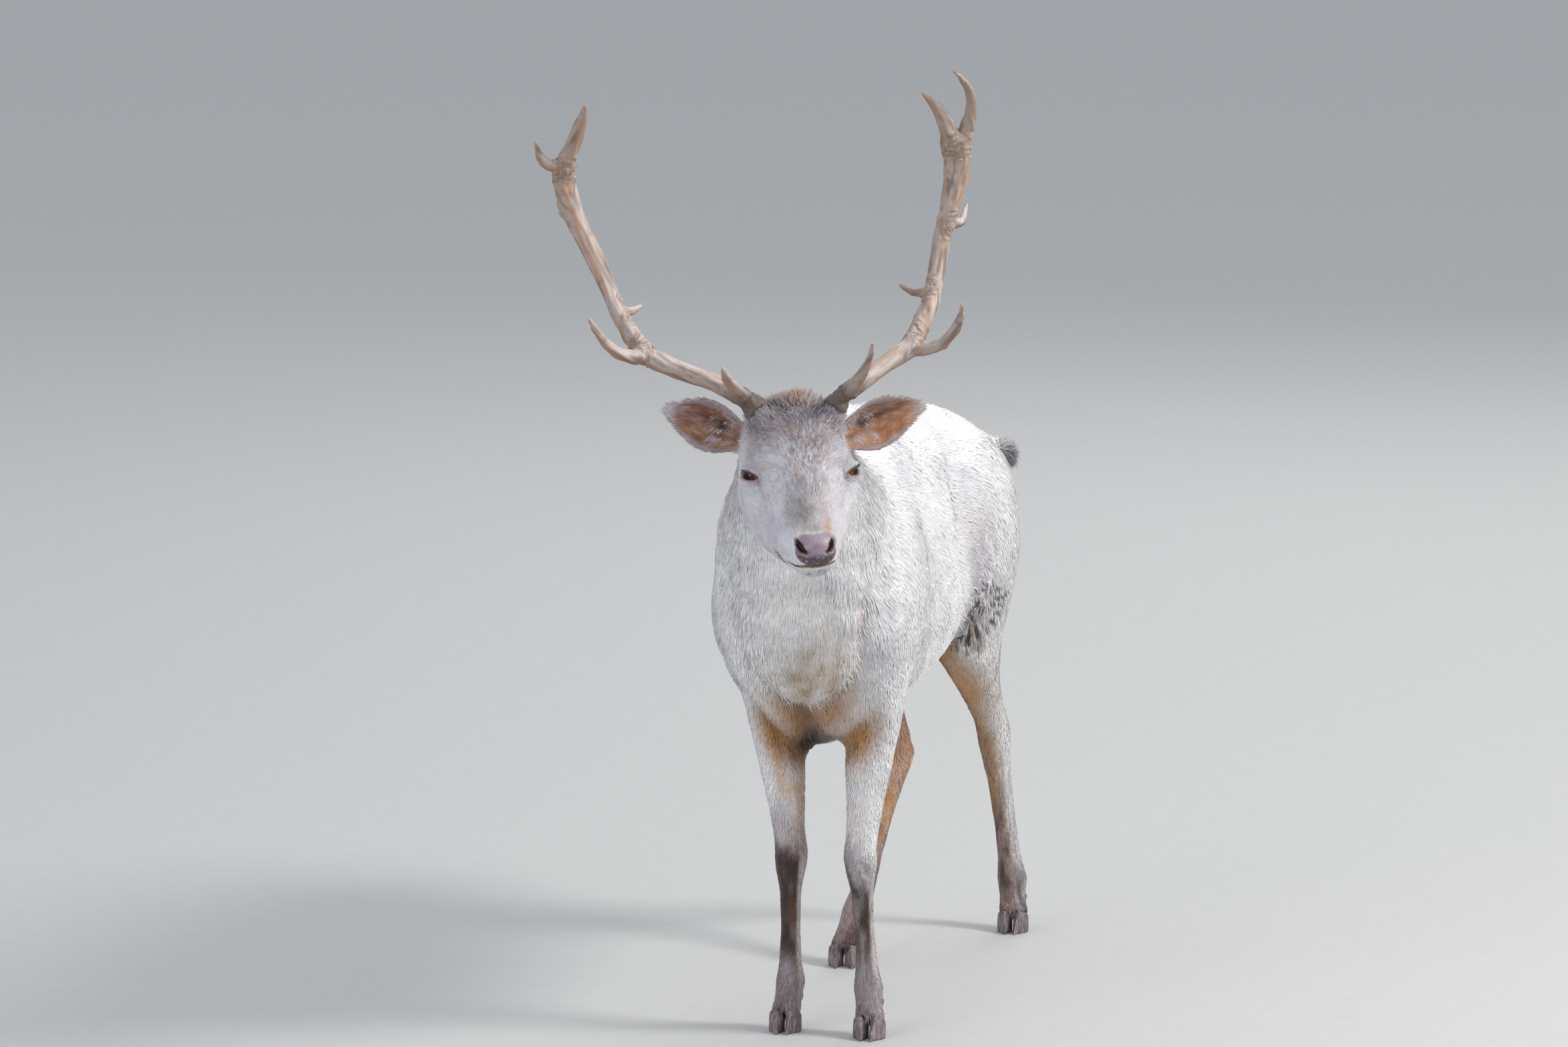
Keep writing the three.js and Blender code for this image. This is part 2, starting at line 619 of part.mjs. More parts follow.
for (const name of LEGS) {
  const { knee, fetlock, elbow, coronet } = JOINTS[name];
  const [k, f] = [axis(...knee), axis(...fetlock)];
  const whole = flesh.intersect(legRegion(name, 0));
  const [upper, belowKnee] = part(whole, k, axis(...elbow).sub(k));
  const [lower, foot] = part(belowKnee, f, k.clone().sub(f));
  const [hoofTop, hoofTopWay] = [axis(coronet[0], coronet[1], CORONET - 5), axis(0, 0.4, 1)];
  let pastern = part(foot, hoofTop, hoofTopWay)[0];
  for (const side of Object.keys(SIDES)) pastern = pastern.subtract(dewclaw(name, SIDES[side], GAP));
  add(`leg_${name}_upper`, upper, COAT);
  add(`leg_${name}_lower`, lower, LEG_COAT);
  add(`leg_${name}_pastern`, pastern, LEG_COAT);
  for (const side of Object.keys(SIDES)) {
    const toeSolid = part(hoofToe(name, SIDES[side]), hoofTop, hoofTopWay)[1];
    add(`hoof_${name}_${side}`, toeSolid, HORN);
    add(`dewclaw_${name}_${side}`, dewclaw(name, SIDES[side]), HORN);
  }
}

// The origin goes to the middle of the underside of the whole deer's box.
const box = new THREE.Box3().setFromObject(deer);
const middle = box.getCenter(new THREE.Vector3());
for (const mesh of deer.children) mesh.geometry.translate(-middle.x, -middle.y, -box.min.z);

export default deer;
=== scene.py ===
# A life-size white fallow deer buck: skin, coat, eyes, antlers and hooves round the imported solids.
# Metres, +Z up. The deer faces -Y and its left side is +X. Face places are in millimetres in the
# head's own frame: X to its left, -Y to the nose, Z up through the forehead.
import math

import bmesh
import bpy
import numpy as np
from mathutils import Matrix, Vector
from mathutils.bvhtree import BVHTree


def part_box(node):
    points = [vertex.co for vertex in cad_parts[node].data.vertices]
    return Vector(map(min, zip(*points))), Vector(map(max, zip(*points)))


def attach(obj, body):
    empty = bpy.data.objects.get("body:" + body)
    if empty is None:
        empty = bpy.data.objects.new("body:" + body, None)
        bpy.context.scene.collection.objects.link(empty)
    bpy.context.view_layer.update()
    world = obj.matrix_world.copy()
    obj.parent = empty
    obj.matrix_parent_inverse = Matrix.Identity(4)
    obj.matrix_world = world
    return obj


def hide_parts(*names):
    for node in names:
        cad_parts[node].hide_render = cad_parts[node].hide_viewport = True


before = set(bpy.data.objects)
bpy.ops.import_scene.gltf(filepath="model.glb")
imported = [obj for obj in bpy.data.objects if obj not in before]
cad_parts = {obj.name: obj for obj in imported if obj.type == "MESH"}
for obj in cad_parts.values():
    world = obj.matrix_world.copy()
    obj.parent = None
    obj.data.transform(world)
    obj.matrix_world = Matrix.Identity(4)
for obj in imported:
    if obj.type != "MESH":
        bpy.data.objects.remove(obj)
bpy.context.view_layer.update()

rng = np.random.default_rng(7)
MM = 0.001
SIDES = {"left": 1, "right": -1}
LEGS = ["front_left", "front_right", "hind_left", "hind_right"]

# ---- The solids' places ----


def read(rows, key, width, kind=np.float32):
    """So many numbers for each row of some mesh data."""
    flat = np.empty(len(rows) * width, kind)
    rows.foreach_get(key, flat)
    return flat.reshape(-1, width)


def places(mesh):
    return read(mesh.vertices, "co", 3).astype(float)


def corners(node):
    return places(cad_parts[node].data)


def middle(node):
    low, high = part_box(node)
    return np.array((low + high) / 2)


def end_of(node, top, band=12 * MM):
    """The middle of a solid's upper or lower end."""
    points = corners(node)
    edge = points[:, 2].max() if top else points[:, 2].min()
    return points[np.abs(points[:, 2] - edge) < band].mean(0)


def turn(degrees, axis):
    return np.array(Matrix.Rotation(math.radians(degrees), 3, axis))


HEAD_TURNED = turn(21.5, "Z") @ turn(29.0, "X") @ turn(-1.5, "Y")
EYE_CENTRE = np.array([59.0, 3.0, 1.0])  # the left one, in the head's frame
EYE_RADIUS = 17.5
HEAD_AT = (middle("eye_left") + middle("eye_right")) / 2 - HEAD_TURNED @ (EYE_CENTRE * [0, 1, 1]) * MM


def to_head(points):
    return (points - HEAD_AT) @ HEAD_TURNED / MM


def from_head(points):
    return HEAD_AT + np.asarray(points, float) @ HEAD_TURNED.T * MM


def head_way(way):
    return HEAD_TURNED @ np.asarray(way, float)


KNEE = {leg: end_of(f"leg_{leg}_lower", top=True) for leg in LEGS}
FETLOCK = {leg: end_of(f"leg_{leg}_pastern", top=True) for leg in LEGS}
TAIL_ROOT = np.array([0.07, 0.53, 0.70])
TAIL = [TAIL_ROOT, (0.115, 0.632, 0.68), (0.149, 0.637, 0.664)]
TAIL_CURL = np.array([0.10, 0.64, 0.68])  # its hair lies away from the root and towards here
TAIL_DROOP = np.array([0.25, 0, -0.1])
EAR_ROOT = {"left": (70, 70, 7), "right": (-68, 70, 12)}
EAR_TIP = {"left": (187, 138, 2), "right": (-160, 138, 15)}
EAR_FACING = {"left": (-0.15, -1, 0.35), "right": (0.15, -1, 0.35)}

# ---- Fields over the surface ----


def ease(value, low, high):
    """0 at low, 1 at high and smooth between them. Low may be the greater."""
    t = np.clip((value - low) / (high - low), 0, 1)
    return t * t * (3 - 2 * t)


def mound(points, at, radii):
    """1 at a place, falling off to 0 round it."""
    return np.exp(-(((points - np.asarray(at, float)) / radii) ** 2).sum(1))


def from_line(points, path):
    """Each point's distance from a broken line, and how far along it the nearest place is, 0 to 1."""
    path = np.asarray(path, float)
    best = np.full(len(points), np.inf)
    share = np.zeros(len(points))
    for k, (a, b) in enumerate(zip(path[:-1], path[1:])):
        t = np.clip((points - a) @ (b - a) / ((b - a) @ (b - a)), 0, 1)
        away = np.linalg.norm(points - a - t[:, None] * (b - a), axis=1)
        nearer = away < best
        best[nearer] = away[nearer]
        share[nearer] = (k + t[nearer]) / (len(path) - 1)
    return best, share


def line_of(points, path, width):
    """1 on a broken line, falling off to 0 at each side and towards its ends."""
    away, share = from_line(points, path)
    taper = np.sin(np.pi * np.clip(share, 0.02, 0.98)) ** 0.5
    return np.exp(-((away / width) ** 2)) * (0.35 + 0.65 * taper)


def noise(points, scale, seed):
    """Smooth noise from 0 to 1 whose lumps are about one scale across."""
    q = np.asarray(points, float) / scale + seed * 17.37
    cell = np.floor(q).astype(np.int64)
    f = q - cell
    f = f * f * (3 - 2 * f)
    total = np.zeros(len(q))
    for corner in np.ndindex(2, 2, 2):
        c = cell + corner
        h = (c[:, 0] * 73856093) ^ (c[:, 1] * 19349663) ^ (c[:, 2] * 83492791) ^ (seed * 2654435761)
        h = (h ^ (h >> 13)) * 1274126177 & 0x7FFFFFFF
        h = (h ^ (h >> 11)) & 0xFFFF
        total += h / 0xFFFF * np.prod(np.where(corner, f, 1 - f), axis=1)
    return total


def noise_way(points, scale, seed):
    """A smooth random direction, each part from -1 to 1."""
    return np.stack([noise(points, scale, seed + k) * 2 - 1 for k in range(3)], axis=1)


def unit(ways):
    return ways / np.maximum(np.linalg.norm(ways, axis=-1, keepdims=True), 1e-9)


def srgb(colour):
    """A colour written as rrggbb, in the linear scale that shaders use. Numbers stay as they are."""
    if not isinstance(colour, str):
        return np.asarray(colour, float)
    parts = np.array([int(colour[k : k + 2], 16) for k in (0, 2, 4)]) / 255
    return np.where(parts < 0.04045, parts / 12.92, ((parts + 0.055) / 1.055) ** 2.4)


def plain(colour, count):
    """One colour for so many points."""
    return np.tile(srgb(colour), (count, 1))


def towards(rows, new, amount):
    """Rows of numbers moved towards new ones by an amount from 0 to 1 for each row."""
    amount = np.clip(amount, 0, 1)[:, None]
    return rows * (1 - amount) + np.asarray(new) * amount


def tint(colours, *layers):
    """Colours under layers, each a new colour and its amount at each point."""
    for new, amount in layers:
        colours = towards(colours, srgb(new), amount)
    return colours


# ---- Meshes as arrays ----


def move(mesh, points):
    mesh.vertices.foreach_set("co", points.astype(np.float32).ravel())
    mesh.update()


def raise_by(mesh, heights):
    """Moves each corner out along its normal by so many mm, and gives the new places."""
    points = places(mesh) + normals_of(mesh) * heights[:, None] * MM
    move(mesh, points)
    return points


def normals_of(mesh):
    return read(mesh.vertex_normals, "vector", 3).astype(float)


def edges_of(mesh):
    return read(mesh.edges, "vertices", 2, np.int32)


def triangles_of(mesh):
    mesh.calc_loop_triangles()
    return read(mesh.loop_triangles, "vertices", 3, np.int32)


def spread(values, edges, rounds):
    """Each value is averaged with its neighbours', several times over."""
    count = len(values)
    ends = np.concatenate([edges[:, 0], edges[:, 1]])
    others = np.concatenate([edges[:, 1], edges[:, 0]])
    degree = np.maximum(np.bincount(ends, minlength=count), 1)
    columns = values.reshape(count, -1).astype(float).copy()
    for _ in range(rounds):
        for c in range(columns.shape[1]):
            around = np.bincount(ends, columns[others, c], minlength=count) / degree
            columns[:, c] = 0.5 * columns[:, c] + 0.5 * around
    return columns.reshape(values.shape)


def fillet(mesh, rounds, share=1.0):
    """Fills creases and leaves ridges as they are."""
    start = places(mesh)
    out = normals_of(mesh)
    rise = ((spread(start, edges_of(mesh), rounds) - start) * out).sum(1)
    rise = spread(np.maximum(rise, 0), edges_of(mesh), 4)
    move(mesh, start + out * (rise * share)[:, None])


def set_attribute(mesh, name, values):
    """Stores one number, or one colour, for each corner of a mesh."""
    if values.ndim == 1:
        layer = mesh.attributes.new(name, "FLOAT", "POINT")
        layer.data.foreach_set("value", values.astype(np.float32))
    else:
        layer = mesh.attributes.new(name, "FLOAT_COLOR", "POINT")
        full = np.concatenate([values, np.ones((len(values), 1))], axis=1)
        layer.data.foreach_set("color", full.astype(np.float32).ravel())


def set_vector(mesh, name, vectors):
    layer = mesh.attributes.new(name, "FLOAT_VECTOR", "POINT")
    layer.data.foreach_set("vector", vectors.astype(np.float32).ravel())


def linked(name, data):
    made = bpy.data.objects.new(name, data)
    bpy.context.scene.collection.objects.link(made)
    return made


def built(name, bm):
    mesh = bpy.data.meshes.new(name)
    bm.to_mesh(mesh)
    bm.free()
    return linked(name, mesh)


def shape_of(name, nodes, grow):
    """The merged copies of some solids, a little fatter so that neighbours meet."""
    bm = bmesh.new()
    for node in nodes:
        bm.from_mesh(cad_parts[node].data)
    bmesh.ops.remove_doubles(bm, verts=bm.verts, dist=0.01 * MM)
    bm.normal_update()
    for vertex in bm.verts:
        vertex.co += vertex.normal * grow
    return built(name, bm)


def settle(shape):
    """Makes a shape's modifiers part of its mesh."""
    graph = bpy.context.evaluated_depsgraph_get()
    mesh = bpy.data.meshes.new_from_object(shape.evaluated_get(graph))
    shape.modifiers.clear()
    shape.data = mesh
    return shape


def remesh(shape, size):
    fused = shape.modifiers.new("fuse", "REMESH")
    fused.mode = "VOXEL"
    fused.voxel_size = size
    return settle(shape)


def weigh(shape, name, weights):
    group = shape.vertex_groups.new(name=name)
    levels = np.round(np.clip(weights, 0, 1) * 100).astype(int)
    for level in np.unique(levels):
        group.add(np.flatnonzero(levels == level).tolist(), level / 100, "REPLACE")
    return group.name


def soften(shape, rounds, group=""):
    eased = shape.modifiers.new("soften", "SMOOTH")
    eased.factor = 0.5
    eased.iterations = rounds
    eased.vertex_group = group
    return settle(shape)


def as_piece(shape, material, slot, *nodes):
    """A finished shape joins the deer in place of some solids."""
    shape.data.materials.clear()
    shape.data.materials.append(material)
    shape.data.polygons.foreach_set("use_smooth", np.ones(len(shape.data.polygons), bool))
    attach(shape, "root")
    if nodes:
        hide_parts(*nodes)


# ---- Shader maths ----


class Value:
    """A number that varies over a surface. Arithmetic on it adds Math nodes."""

    def __init__(self, paint, socket):
        self.paint, self.socket = paint, socket

    def math(self, operation, *others):
        sockets = dict(enumerate([self, *others]))
        return self.paint.node("ShaderNodeMath", {"operation": operation}, sockets)

    def __add__(self, other):
        return self.math("ADD", other)

    def __mul__(self, other):
        return self.math("MULTIPLY", other)

    def __sub__(self, other):
        return self.math("SUBTRACT", other)

    def __rsub__(self, other):
        return self * -1 + other

    def __truediv__(self, other):
        return self.math("DIVIDE", other)

    def __pow__(self, other):
        return self.math("POWER", other)

    __radd__ = __add__
    __rmul__ = __mul__

    def between(self, low, high):
        """0 below low and 1 above high."""
        sockets = {0: self, 1: low, 2: high, 3: 0.0, 4: 1.0}
        return self.paint.node("ShaderNodeMapRange", {"interpolation_type": "SMOOTHSTEP"}, sockets)


class Paint:
    """A material in the making."""

    def __init__(self, name):
        self.material = bpy.data.materials.new(name)
        self.material.use_nodes = True
        self.tree = self.material.node_tree
        self.surface = self.tree.nodes["Principled BSDF"]

    def put(self, socket, value):
        if isinstance(value, Value):
            self.tree.links.new(value.socket, socket)
        elif socket.type == "RGBA":
            socket.default_value = (*srgb(value).tolist(), 1.0)
        else:
            socket.default_value = value

    def node(self, kind, settings=None, sockets=None, output=0):
        made = self.tree.nodes.new(kind)
        for key, value in (settings or {}).items():
            setattr(made, key, value)
        for key, value in (sockets or {}).items():
            self.put(made.inputs[key], value)
        return Value(self, made.outputs[output])

    def set(self, **sockets):
        for name, value in sockets.items():
            self.put(self.surface.inputs[name.replace("_", " ")], value)

    def where(self):
        return self.node("ShaderNodeTexCoord", output="Object")

    def stored(self, name, output="Fac"):
        return self.node("ShaderNodeAttribute", {"attribute_name": name}, output=output)

    def placed(self, at=(0, 0, 0), scale=(1, 1, 1)):
        """Object coordinates, scaled and moved."""
        return self.node("ShaderNodeMapping", {}, {"Vector": self.where(), "Location": at, "Scale": scale})

    def lumps(self, scale, detail=3.0, roughness=0.55, where=None):
        at = where or self.where()
        sockets = {"Vector": at, "Scale": scale, "Detail": detail, "Roughness": roughness}
        return self.node("ShaderNodeTexNoise", {}, sockets)

    def mix(self, a, b, amount, blend="MIX"):
        settings = {"data_type": "RGBA", "blend_type": blend, "clamp_factor": True}
        return self.node("ShaderNodeMix", settings, {0: amount, 6: a, 7: b}, output=2)

    def bump(self, height, distance, strength=1.0):
        sockets = {"Height": height, "Distance": distance, "Strength": strength}
        return self.node("ShaderNodeBump", {}, sockets)


# ---- Markings and painted shade: the same on the skin and on the coat ----

WHITE = "f2f1f1"
COOL_SHADE = "d3d5dc"
TAN = "b98f62"
ORANGE = "c98a4a"
MUD = "493732"
DARK = "2c2422"
MAUVE = "a3949a"

APRON_FRONT = [(0.055, -0.415, 0.58), (0.067, -0.376, 0.535), (0.056, -0.352, 0.495), (0.057, -0.328, 0.47)]
CHEST_CLEFT = [(0.033, -0.31, 0.457), (0.041, -0.277, 0.426), (0.037, -0.234, 0.394)]
ARMPIT_RIGHT = [(-0.022, -0.273, 0.44), (-0.005, -0.264, 0.405), (0.02, -0.243, 0.388),
                (0.035, -0.235, 0.39)]
ARMPIT_LEFT = [(0.045, -0.235, 0.39), (0.07, -0.24, 0.39), (0.10, -0.262, 0.404), (0.125, -0.268, 0.43)]
NECK_CREASE = [(0.140, -0.36, 0.66), (0.134, -0.36, 0.60), (0.120, -0.35, 0.53)]
NECK_FOLD = [(0.138, -0.367, 0.70), (0.156, -0.324, 0.623), (0.162, -0.306, 0.558)]
SHOULDER_FOLD = [(0.15, -0.285, 0.74), (0.158, -0.265, 0.69), (0.173, -0.248, 0.62)]
FLANK_FOLD = [(0.106, 0.296, 0.752), (0.139, 0.261, 0.701), (0.159, 0.192, 0.656), (0.172, 0.122, 0.602)]
RUFF_EDGE = [(-0.032, -0.372, 0.59), (-0.018, -0.35, 0.522), (0.0, -0.335, 0.493), (0.022, -0.321, 0.47),
             (0.052, -0.316, 0.463), (0.08, -0.323, 0.477), (0.102, -0.333, 0.50), (0.120, -0.345, 0.53),
             (0.131, -0.357, 0.571), (0.133, -0.36, 0.605)]
THIGH_INSIDE = [(0.10, 0.345, 0.43), (0.105, 0.40, 0.38), (0.115, 0.46, 0.335)]
GROIN = [(0.095, 0.35, 0.425), (0.105, 0.40, 0.375), (0.115, 0.46, 0.335)]
MUD_PATCH = (0.170, 0.34, 0.482)
FAN_ACROSS, FAN_TOP, FAN_STROKES = 0.208, 0.503, 23  # where the mud's strokes meet, and how close they lie
LEGS_MIDDLE = 0.059  # x between the left legs and the right
FLANK = [((0.173, 0.26, 0.56), (0.05, 0.065, 0.11), 0.9), ((0.10, 0.10, 0.42), (0.06, 0.25, 0.04), 0.4)]
NOSE_LINE = [(8, -66, 25), (17, -88, 14), (18, -112, 10), (15, -128, 9)]
# Spots on the face: place, radii and strength.
FOREHEAD = [((0, 36, 60), (58, 46, 42), 0.95), ((40, 62, 50), (24, 26, 24), 0.6),
            ((-40, 62, 50), (24, 26, 24), 0.6), ((16, -4, 50), (24, 18, 20), 0.4),
            ((-58, 30, 44), (16, 30, 18), 0.5), ((58, 30, 44), (16, 30, 18), 0.4)]
BRIDGE = [((-17, -106, 17), (24, 27, 14), 0.95), ((-12, -76, 26), (26, 26, 14), 0.7),
          ((-10, -52, 32), (20, 18, 14), 0.4), ((-2, -130, 12), (16, 10, 9), 0.6)]
SPECKS = [((-43, -112, -42), (8, 8, 8), 1.4), ((-36, -118, -46), (9, 16, 6), 0.7),
          ((-12, -160, -35), (9, 5, 3), 0.9), ((3, -162, -32), (8, 5, 3), 0.9),
          ((42, -100, -48), (10, 16, 10), 0.4), ((-48, -84, -58), (12, 20, 10), 0.5)]
BROWN_SPOTS = [((22, 4, 56), (10, 12, 14), 0.5), ((-22, 42, 62), (12, 20, 12), 0.5),
               ((34, 34, 52), (12, 14, 12), 0.4), ((16, -36, 42), (9, 12, 12), 0.45)]
POLL_SPOTS = [((0, 84, 64), (40, 17, 28), 1.0), ((0, 96, 40), (26, 16, 26), 0.4)]
# Painted shade on the cheeks, deepest on the face's right side.
CHEEK_SHADE = [((-62, 10, -40), (22, 60, 34), 0.6), ((-40, -80, -20), (26, 50, 24), 0.45),
          ((62, 10, -40), (22, 50, 30), 0.2)]
JAWS = [((-30, -70, -66), (26, 50, 14), 0.5), ((20, -70, -66), (26, 50, 14), 0.5)]


def patches(points, spots):
    return sum(strength * mound(points, at, radii) for at, radii, strength in spots)


def body_colour(points, normals):
    """White, with cream and tan where the coat is stained, mud on the legs, the ruff's painted shadow in
    the tan band under it, and painted lavender-grey shade in soft patches, under the neck and along the
    flank's hollow.
    """
    soft = noise(points, 0.05, 3) * 0.6 + noise(points, 0.018, 4) * 0.4
    fine = noise(points, 0.012, 5)
    locks = noise(points * [1, 1, 0.22], 0.007, 6)
    apron = line_of(points, APRON_FRONT, 0.055) * (0.22 + 0.6 * ease(points[:, 2], 0.59, 0.46))
    under = line_of(points, np.array(RUFF_EDGE[2:7]) + [0, 0.022, -0.028], 0.022)
    folds = line_of(points, CHEST_CLEFT, 0.021)
    folds += line_of(points, ARMPIT_RIGHT, 0.022) + line_of(points, ARMPIT_LEFT, 0.022)
    flank = patches(points, FLANK)
    colours = tint(
        plain(WHITE, len(points)),
        (COOL_SHADE, 0.55 * ease(soft, 0.45, 0.8)),
        ("b5966c", apron * (0.2 + 1.5 * ease(locks, 0.25, 0.75))),
        # a tan stain under the ruff's edge, with the ruff's shadow painted into it
        ("a8743c", under * (0.85 + 0.5 * fine)),
        ("a06c36", np.minimum(folds * 1.5, 1) * (0.75 + 0.5 * fine)),
        ("4a3423", 0.85 * line_of(points, CHEST_CLEFT, 0.010)),
        ("a98e88", 0.6 * line_of(points, NECK_CREASE, 0.012) * (0.4 + fine)),
        # painted shade: lavender-grey in the hollow under the neck and shoulder crease
        ("b3b0c0", 0.5 * mound(points, (0.15, -0.31, 0.525), (0.035, 0.05, 0.05))),
        ("aca5b0", flank * ease(locks, 0.1, 0.7)),
        ("b98a5e", flank * ease(fine, 0.55, 0.75) * 0.3),
        # painted shade: a lavender-grey band along the hollow in front of the haunch
        ("c3bfca", 0.55 * line_of(points, FLANK_FOLD, 0.022)),
        *leg_colours(points, normals, fine),
        ("d79d58", line_of(points, GROIN, 0.04) * (0.6 + 0.4 * fine)),
    )
    away, share = from_line(points, TAIL)
    return tint(
        colours,
        ("4c4b55", ease(share, 0.66, 0.9) * ease(away, 0.06, 0.03) * 0.9),
        (DARK, 1.3 * mound(points, (0.038, -0.228, 0.395), (0.030, 0.036, 0.024))),
    )


def leg_colours(points, normals, fine):
    """The layers over each leg. The forelegs are muddy from the knee down, the hind legs tan."""
    mottle = noise(points * [1, 1, 0.4], 0.009, 8)
    broad = noise(points * [1, 1, 0.6], 0.028, 9)
    rusty = noise(points, 0.018, 12)
    z = points[:, 2]
    blots = ease(mottle, 0.5, 0.75)
    layers = []
    for leg in LEGS:
        knee, fetlock = KNEE[leg], FETLOCK[leg]
        hind, right = leg.startswith("hind"), leg.endswith("right")
        elbow_height, near, far = (0.46, 0.075, 0.11) if hind else (0.42, 0.055, 0.08)
        up = end_of(f"leg_{leg}_upper", top=True)
        elbow = ((knee[0] * 2 + up[0]) / 3, (knee[1] * 2 + up[1]) / 3, elbow_height)
        away, _ = from_line(points, [elbow, knee, fetlock, (fetlock[0], fetlock[1], 0)])
        mine = 1 - ease(away, near, far)
        below = mine * (1 - ease(z, elbow_height - 0.04, elbow_height + 0.03))
        facing = -normals[:, 0] * np.sign(knee[0] - LEGS_MIDDLE) - normals[:, 1] * 0.7
        if hind:
            if not right:
                facing = -normals[:, 0] - 0.2 * normals[:, 1] + 0.15
                below = np.maximum(below, np.minimum(line_of(points, THIGH_INSIDE, 0.06) * 1.5, 1))
            stain = ease(facing, -0.45, 0.4) * 0.9 + 0.08 + 0.45 * right
            low = mine * ease(z + (broad - 0.5) * 0.05, 0.21, 0.12)
            lit = 0 if right else ease(normals[:, 0], 0.0, 0.5) * ease(z, 0.07, 0.10)
            dark = blots * ease(z, 0.26, 0.12) * ease(-normals[:, 1], -0.5, 0.5)
            layers += [
                ("c99f6b", below * np.minimum(stain, 0.92) * (0.6 + 0.4 * fine)),
                ("b67d42", below * ease(facing, 0.2, 0.9) * (0.4 + 0.5 * fine)),
                ("b5a6ac", below * blots * 0.4),
                (MAUVE, low * (0.7 - 0.65 * lit)),
                (MUD, mine * dark * (1 - 0.9 * lit) * 0.8),
            ]
        else:
            inner = ease(facing, 0.1, 0.9) * ease(mottle, 0.25, 0.6)
            top, edge = (0.268, 0.95) if right else (0.225, 0.5)
            share = 0.6 if right else 0.2 + 0.45 * ease(z, 0.36, 0.41)
            wavy = z + (broad - 0.5) * 0.05 + (mottle - 0.5) * 0.03 + normals[:, 0] * 0.012
            muddy = ease(-normals[:, 1] - normals[:, 0] * 1.2 + (broad - 0.5) * 0.5, -0.5, 0.15)
            strong = ease(mottle * 0.6 + broad * 0.6, 0.3, 0.65) * 0.6 + 0.4
            strong = np.maximum(strong, ease(z, top - 0.07, top - 0.04) * edge)
            band = mine * muddy * ease(wavy, top + 0.012, top - 0.022)
            layers += [
                ("c99c6a", below * inner * share * (0.5 + fine)),
                (MAUVE, mine * ease(wavy, top + 0.05, top + 0.005) * 0.6),
                ("e6dad6", mine * ease(wavy, top, top - 0.02) * (1 - muddy) * 0.75),
                (MUD, band * strong * (0.35 + 0.65 * ease(z, 0.085, 0.12))),
                ("8a5f48", band * ease(rusty, 0.5, 0.8) * ease(z, top - 0.01, top - 0.05) * 0.5),
                (MAUVE, mine * ease(z, 0.105, 0.06) * 0.6),
            ]
        layers.append((MUD, mine * ease(z, 0.06, 0.03) * ease(mottle, 0.35, 0.7) * 0.6))
    return layers


def fine_marks(points, colours):
    """Marks finer than the skin's mesh: mud strokes on a thigh, and streaks on the legs and the face."""
    patch = mound(points, MUD_PATCH, (0.055, 0.06, 0.05)) * (0.6 + 0.8 * noise(points, 0.03, 9))
    across = points @ [0.98, 0.2, 0] - FAN_ACROSS
    down = FAN_TOP - points[:, 2]
    apart = np.hypot(across, down)
    wander = noise(points, 0.02, 10) - 0.5
    strokes = ease(np.sin(np.arctan2(down, across) * FAN_STROKES + 3.3 + 2.4 * wander), -0.1, 0.4)
    strokes *= ease(apart, 0.012, 0.02) * ease(apart + 0.02 * wander, 0.058, 0.047)
    strokes *= ease(noise(points, 0.014, 11), 0.12, 0.35)
    rearward = ease(across, 0.03, 0.0)
    blots = ease(noise(points, 0.0075, 13), 0.5, 0.66) * rearward
    wet = ease(patch, 0.12, 0.5)
    brown = ease(noise(points, 0.009, 12), 0.5, 0.7) * ease(across, 0.03, -0.01)
    hairs = ease(noise(points * [1, 1, 0.3], 0.0032, 71), 0.5, 0.8)
    h = to_head(points)
    on_face = mound(h, (0, -30, 10), (90, 130, 80))
    brow = np.minimum(patches(h, FOREHEAD) + 0.6 * mound(h, (0, -20, 44), (30, 50, 30)), 1)
    streaks = ease(noise(h * [1, 0.38, 1], 2.6, 72) * 0.6 + noise(h, 9.0, 75) * 0.5, 0.46, 0.74)
    pale = ease(noise(h * [1, 0.38, 1], 2.4, 73), 0.5, 0.8)
    warm = ease(noise(h * [1, 0.5, 1], 7.0, 74), 0.52, 0.75)
    return tint(
        colours,
        ("a8a0a4", wet * (0.3 + 0.4 * rearward)),
        ("a9865f", wet * brown * 0.8),
        ("3a302d", np.maximum(strokes, blots) * ease(patch, 0.15, 0.35) * 0.9),
        ("574746", hairs * ease(points[:, 2], 0.30, 0.22) * 0.3),
        ("746569", streaks * on_face * (0.2 + 0.6 * brow)),
        ("ebe8ec", pale * on_face * brow * 0.75),
        ("a67d63", warm * on_face * brow * 0.5),
    )


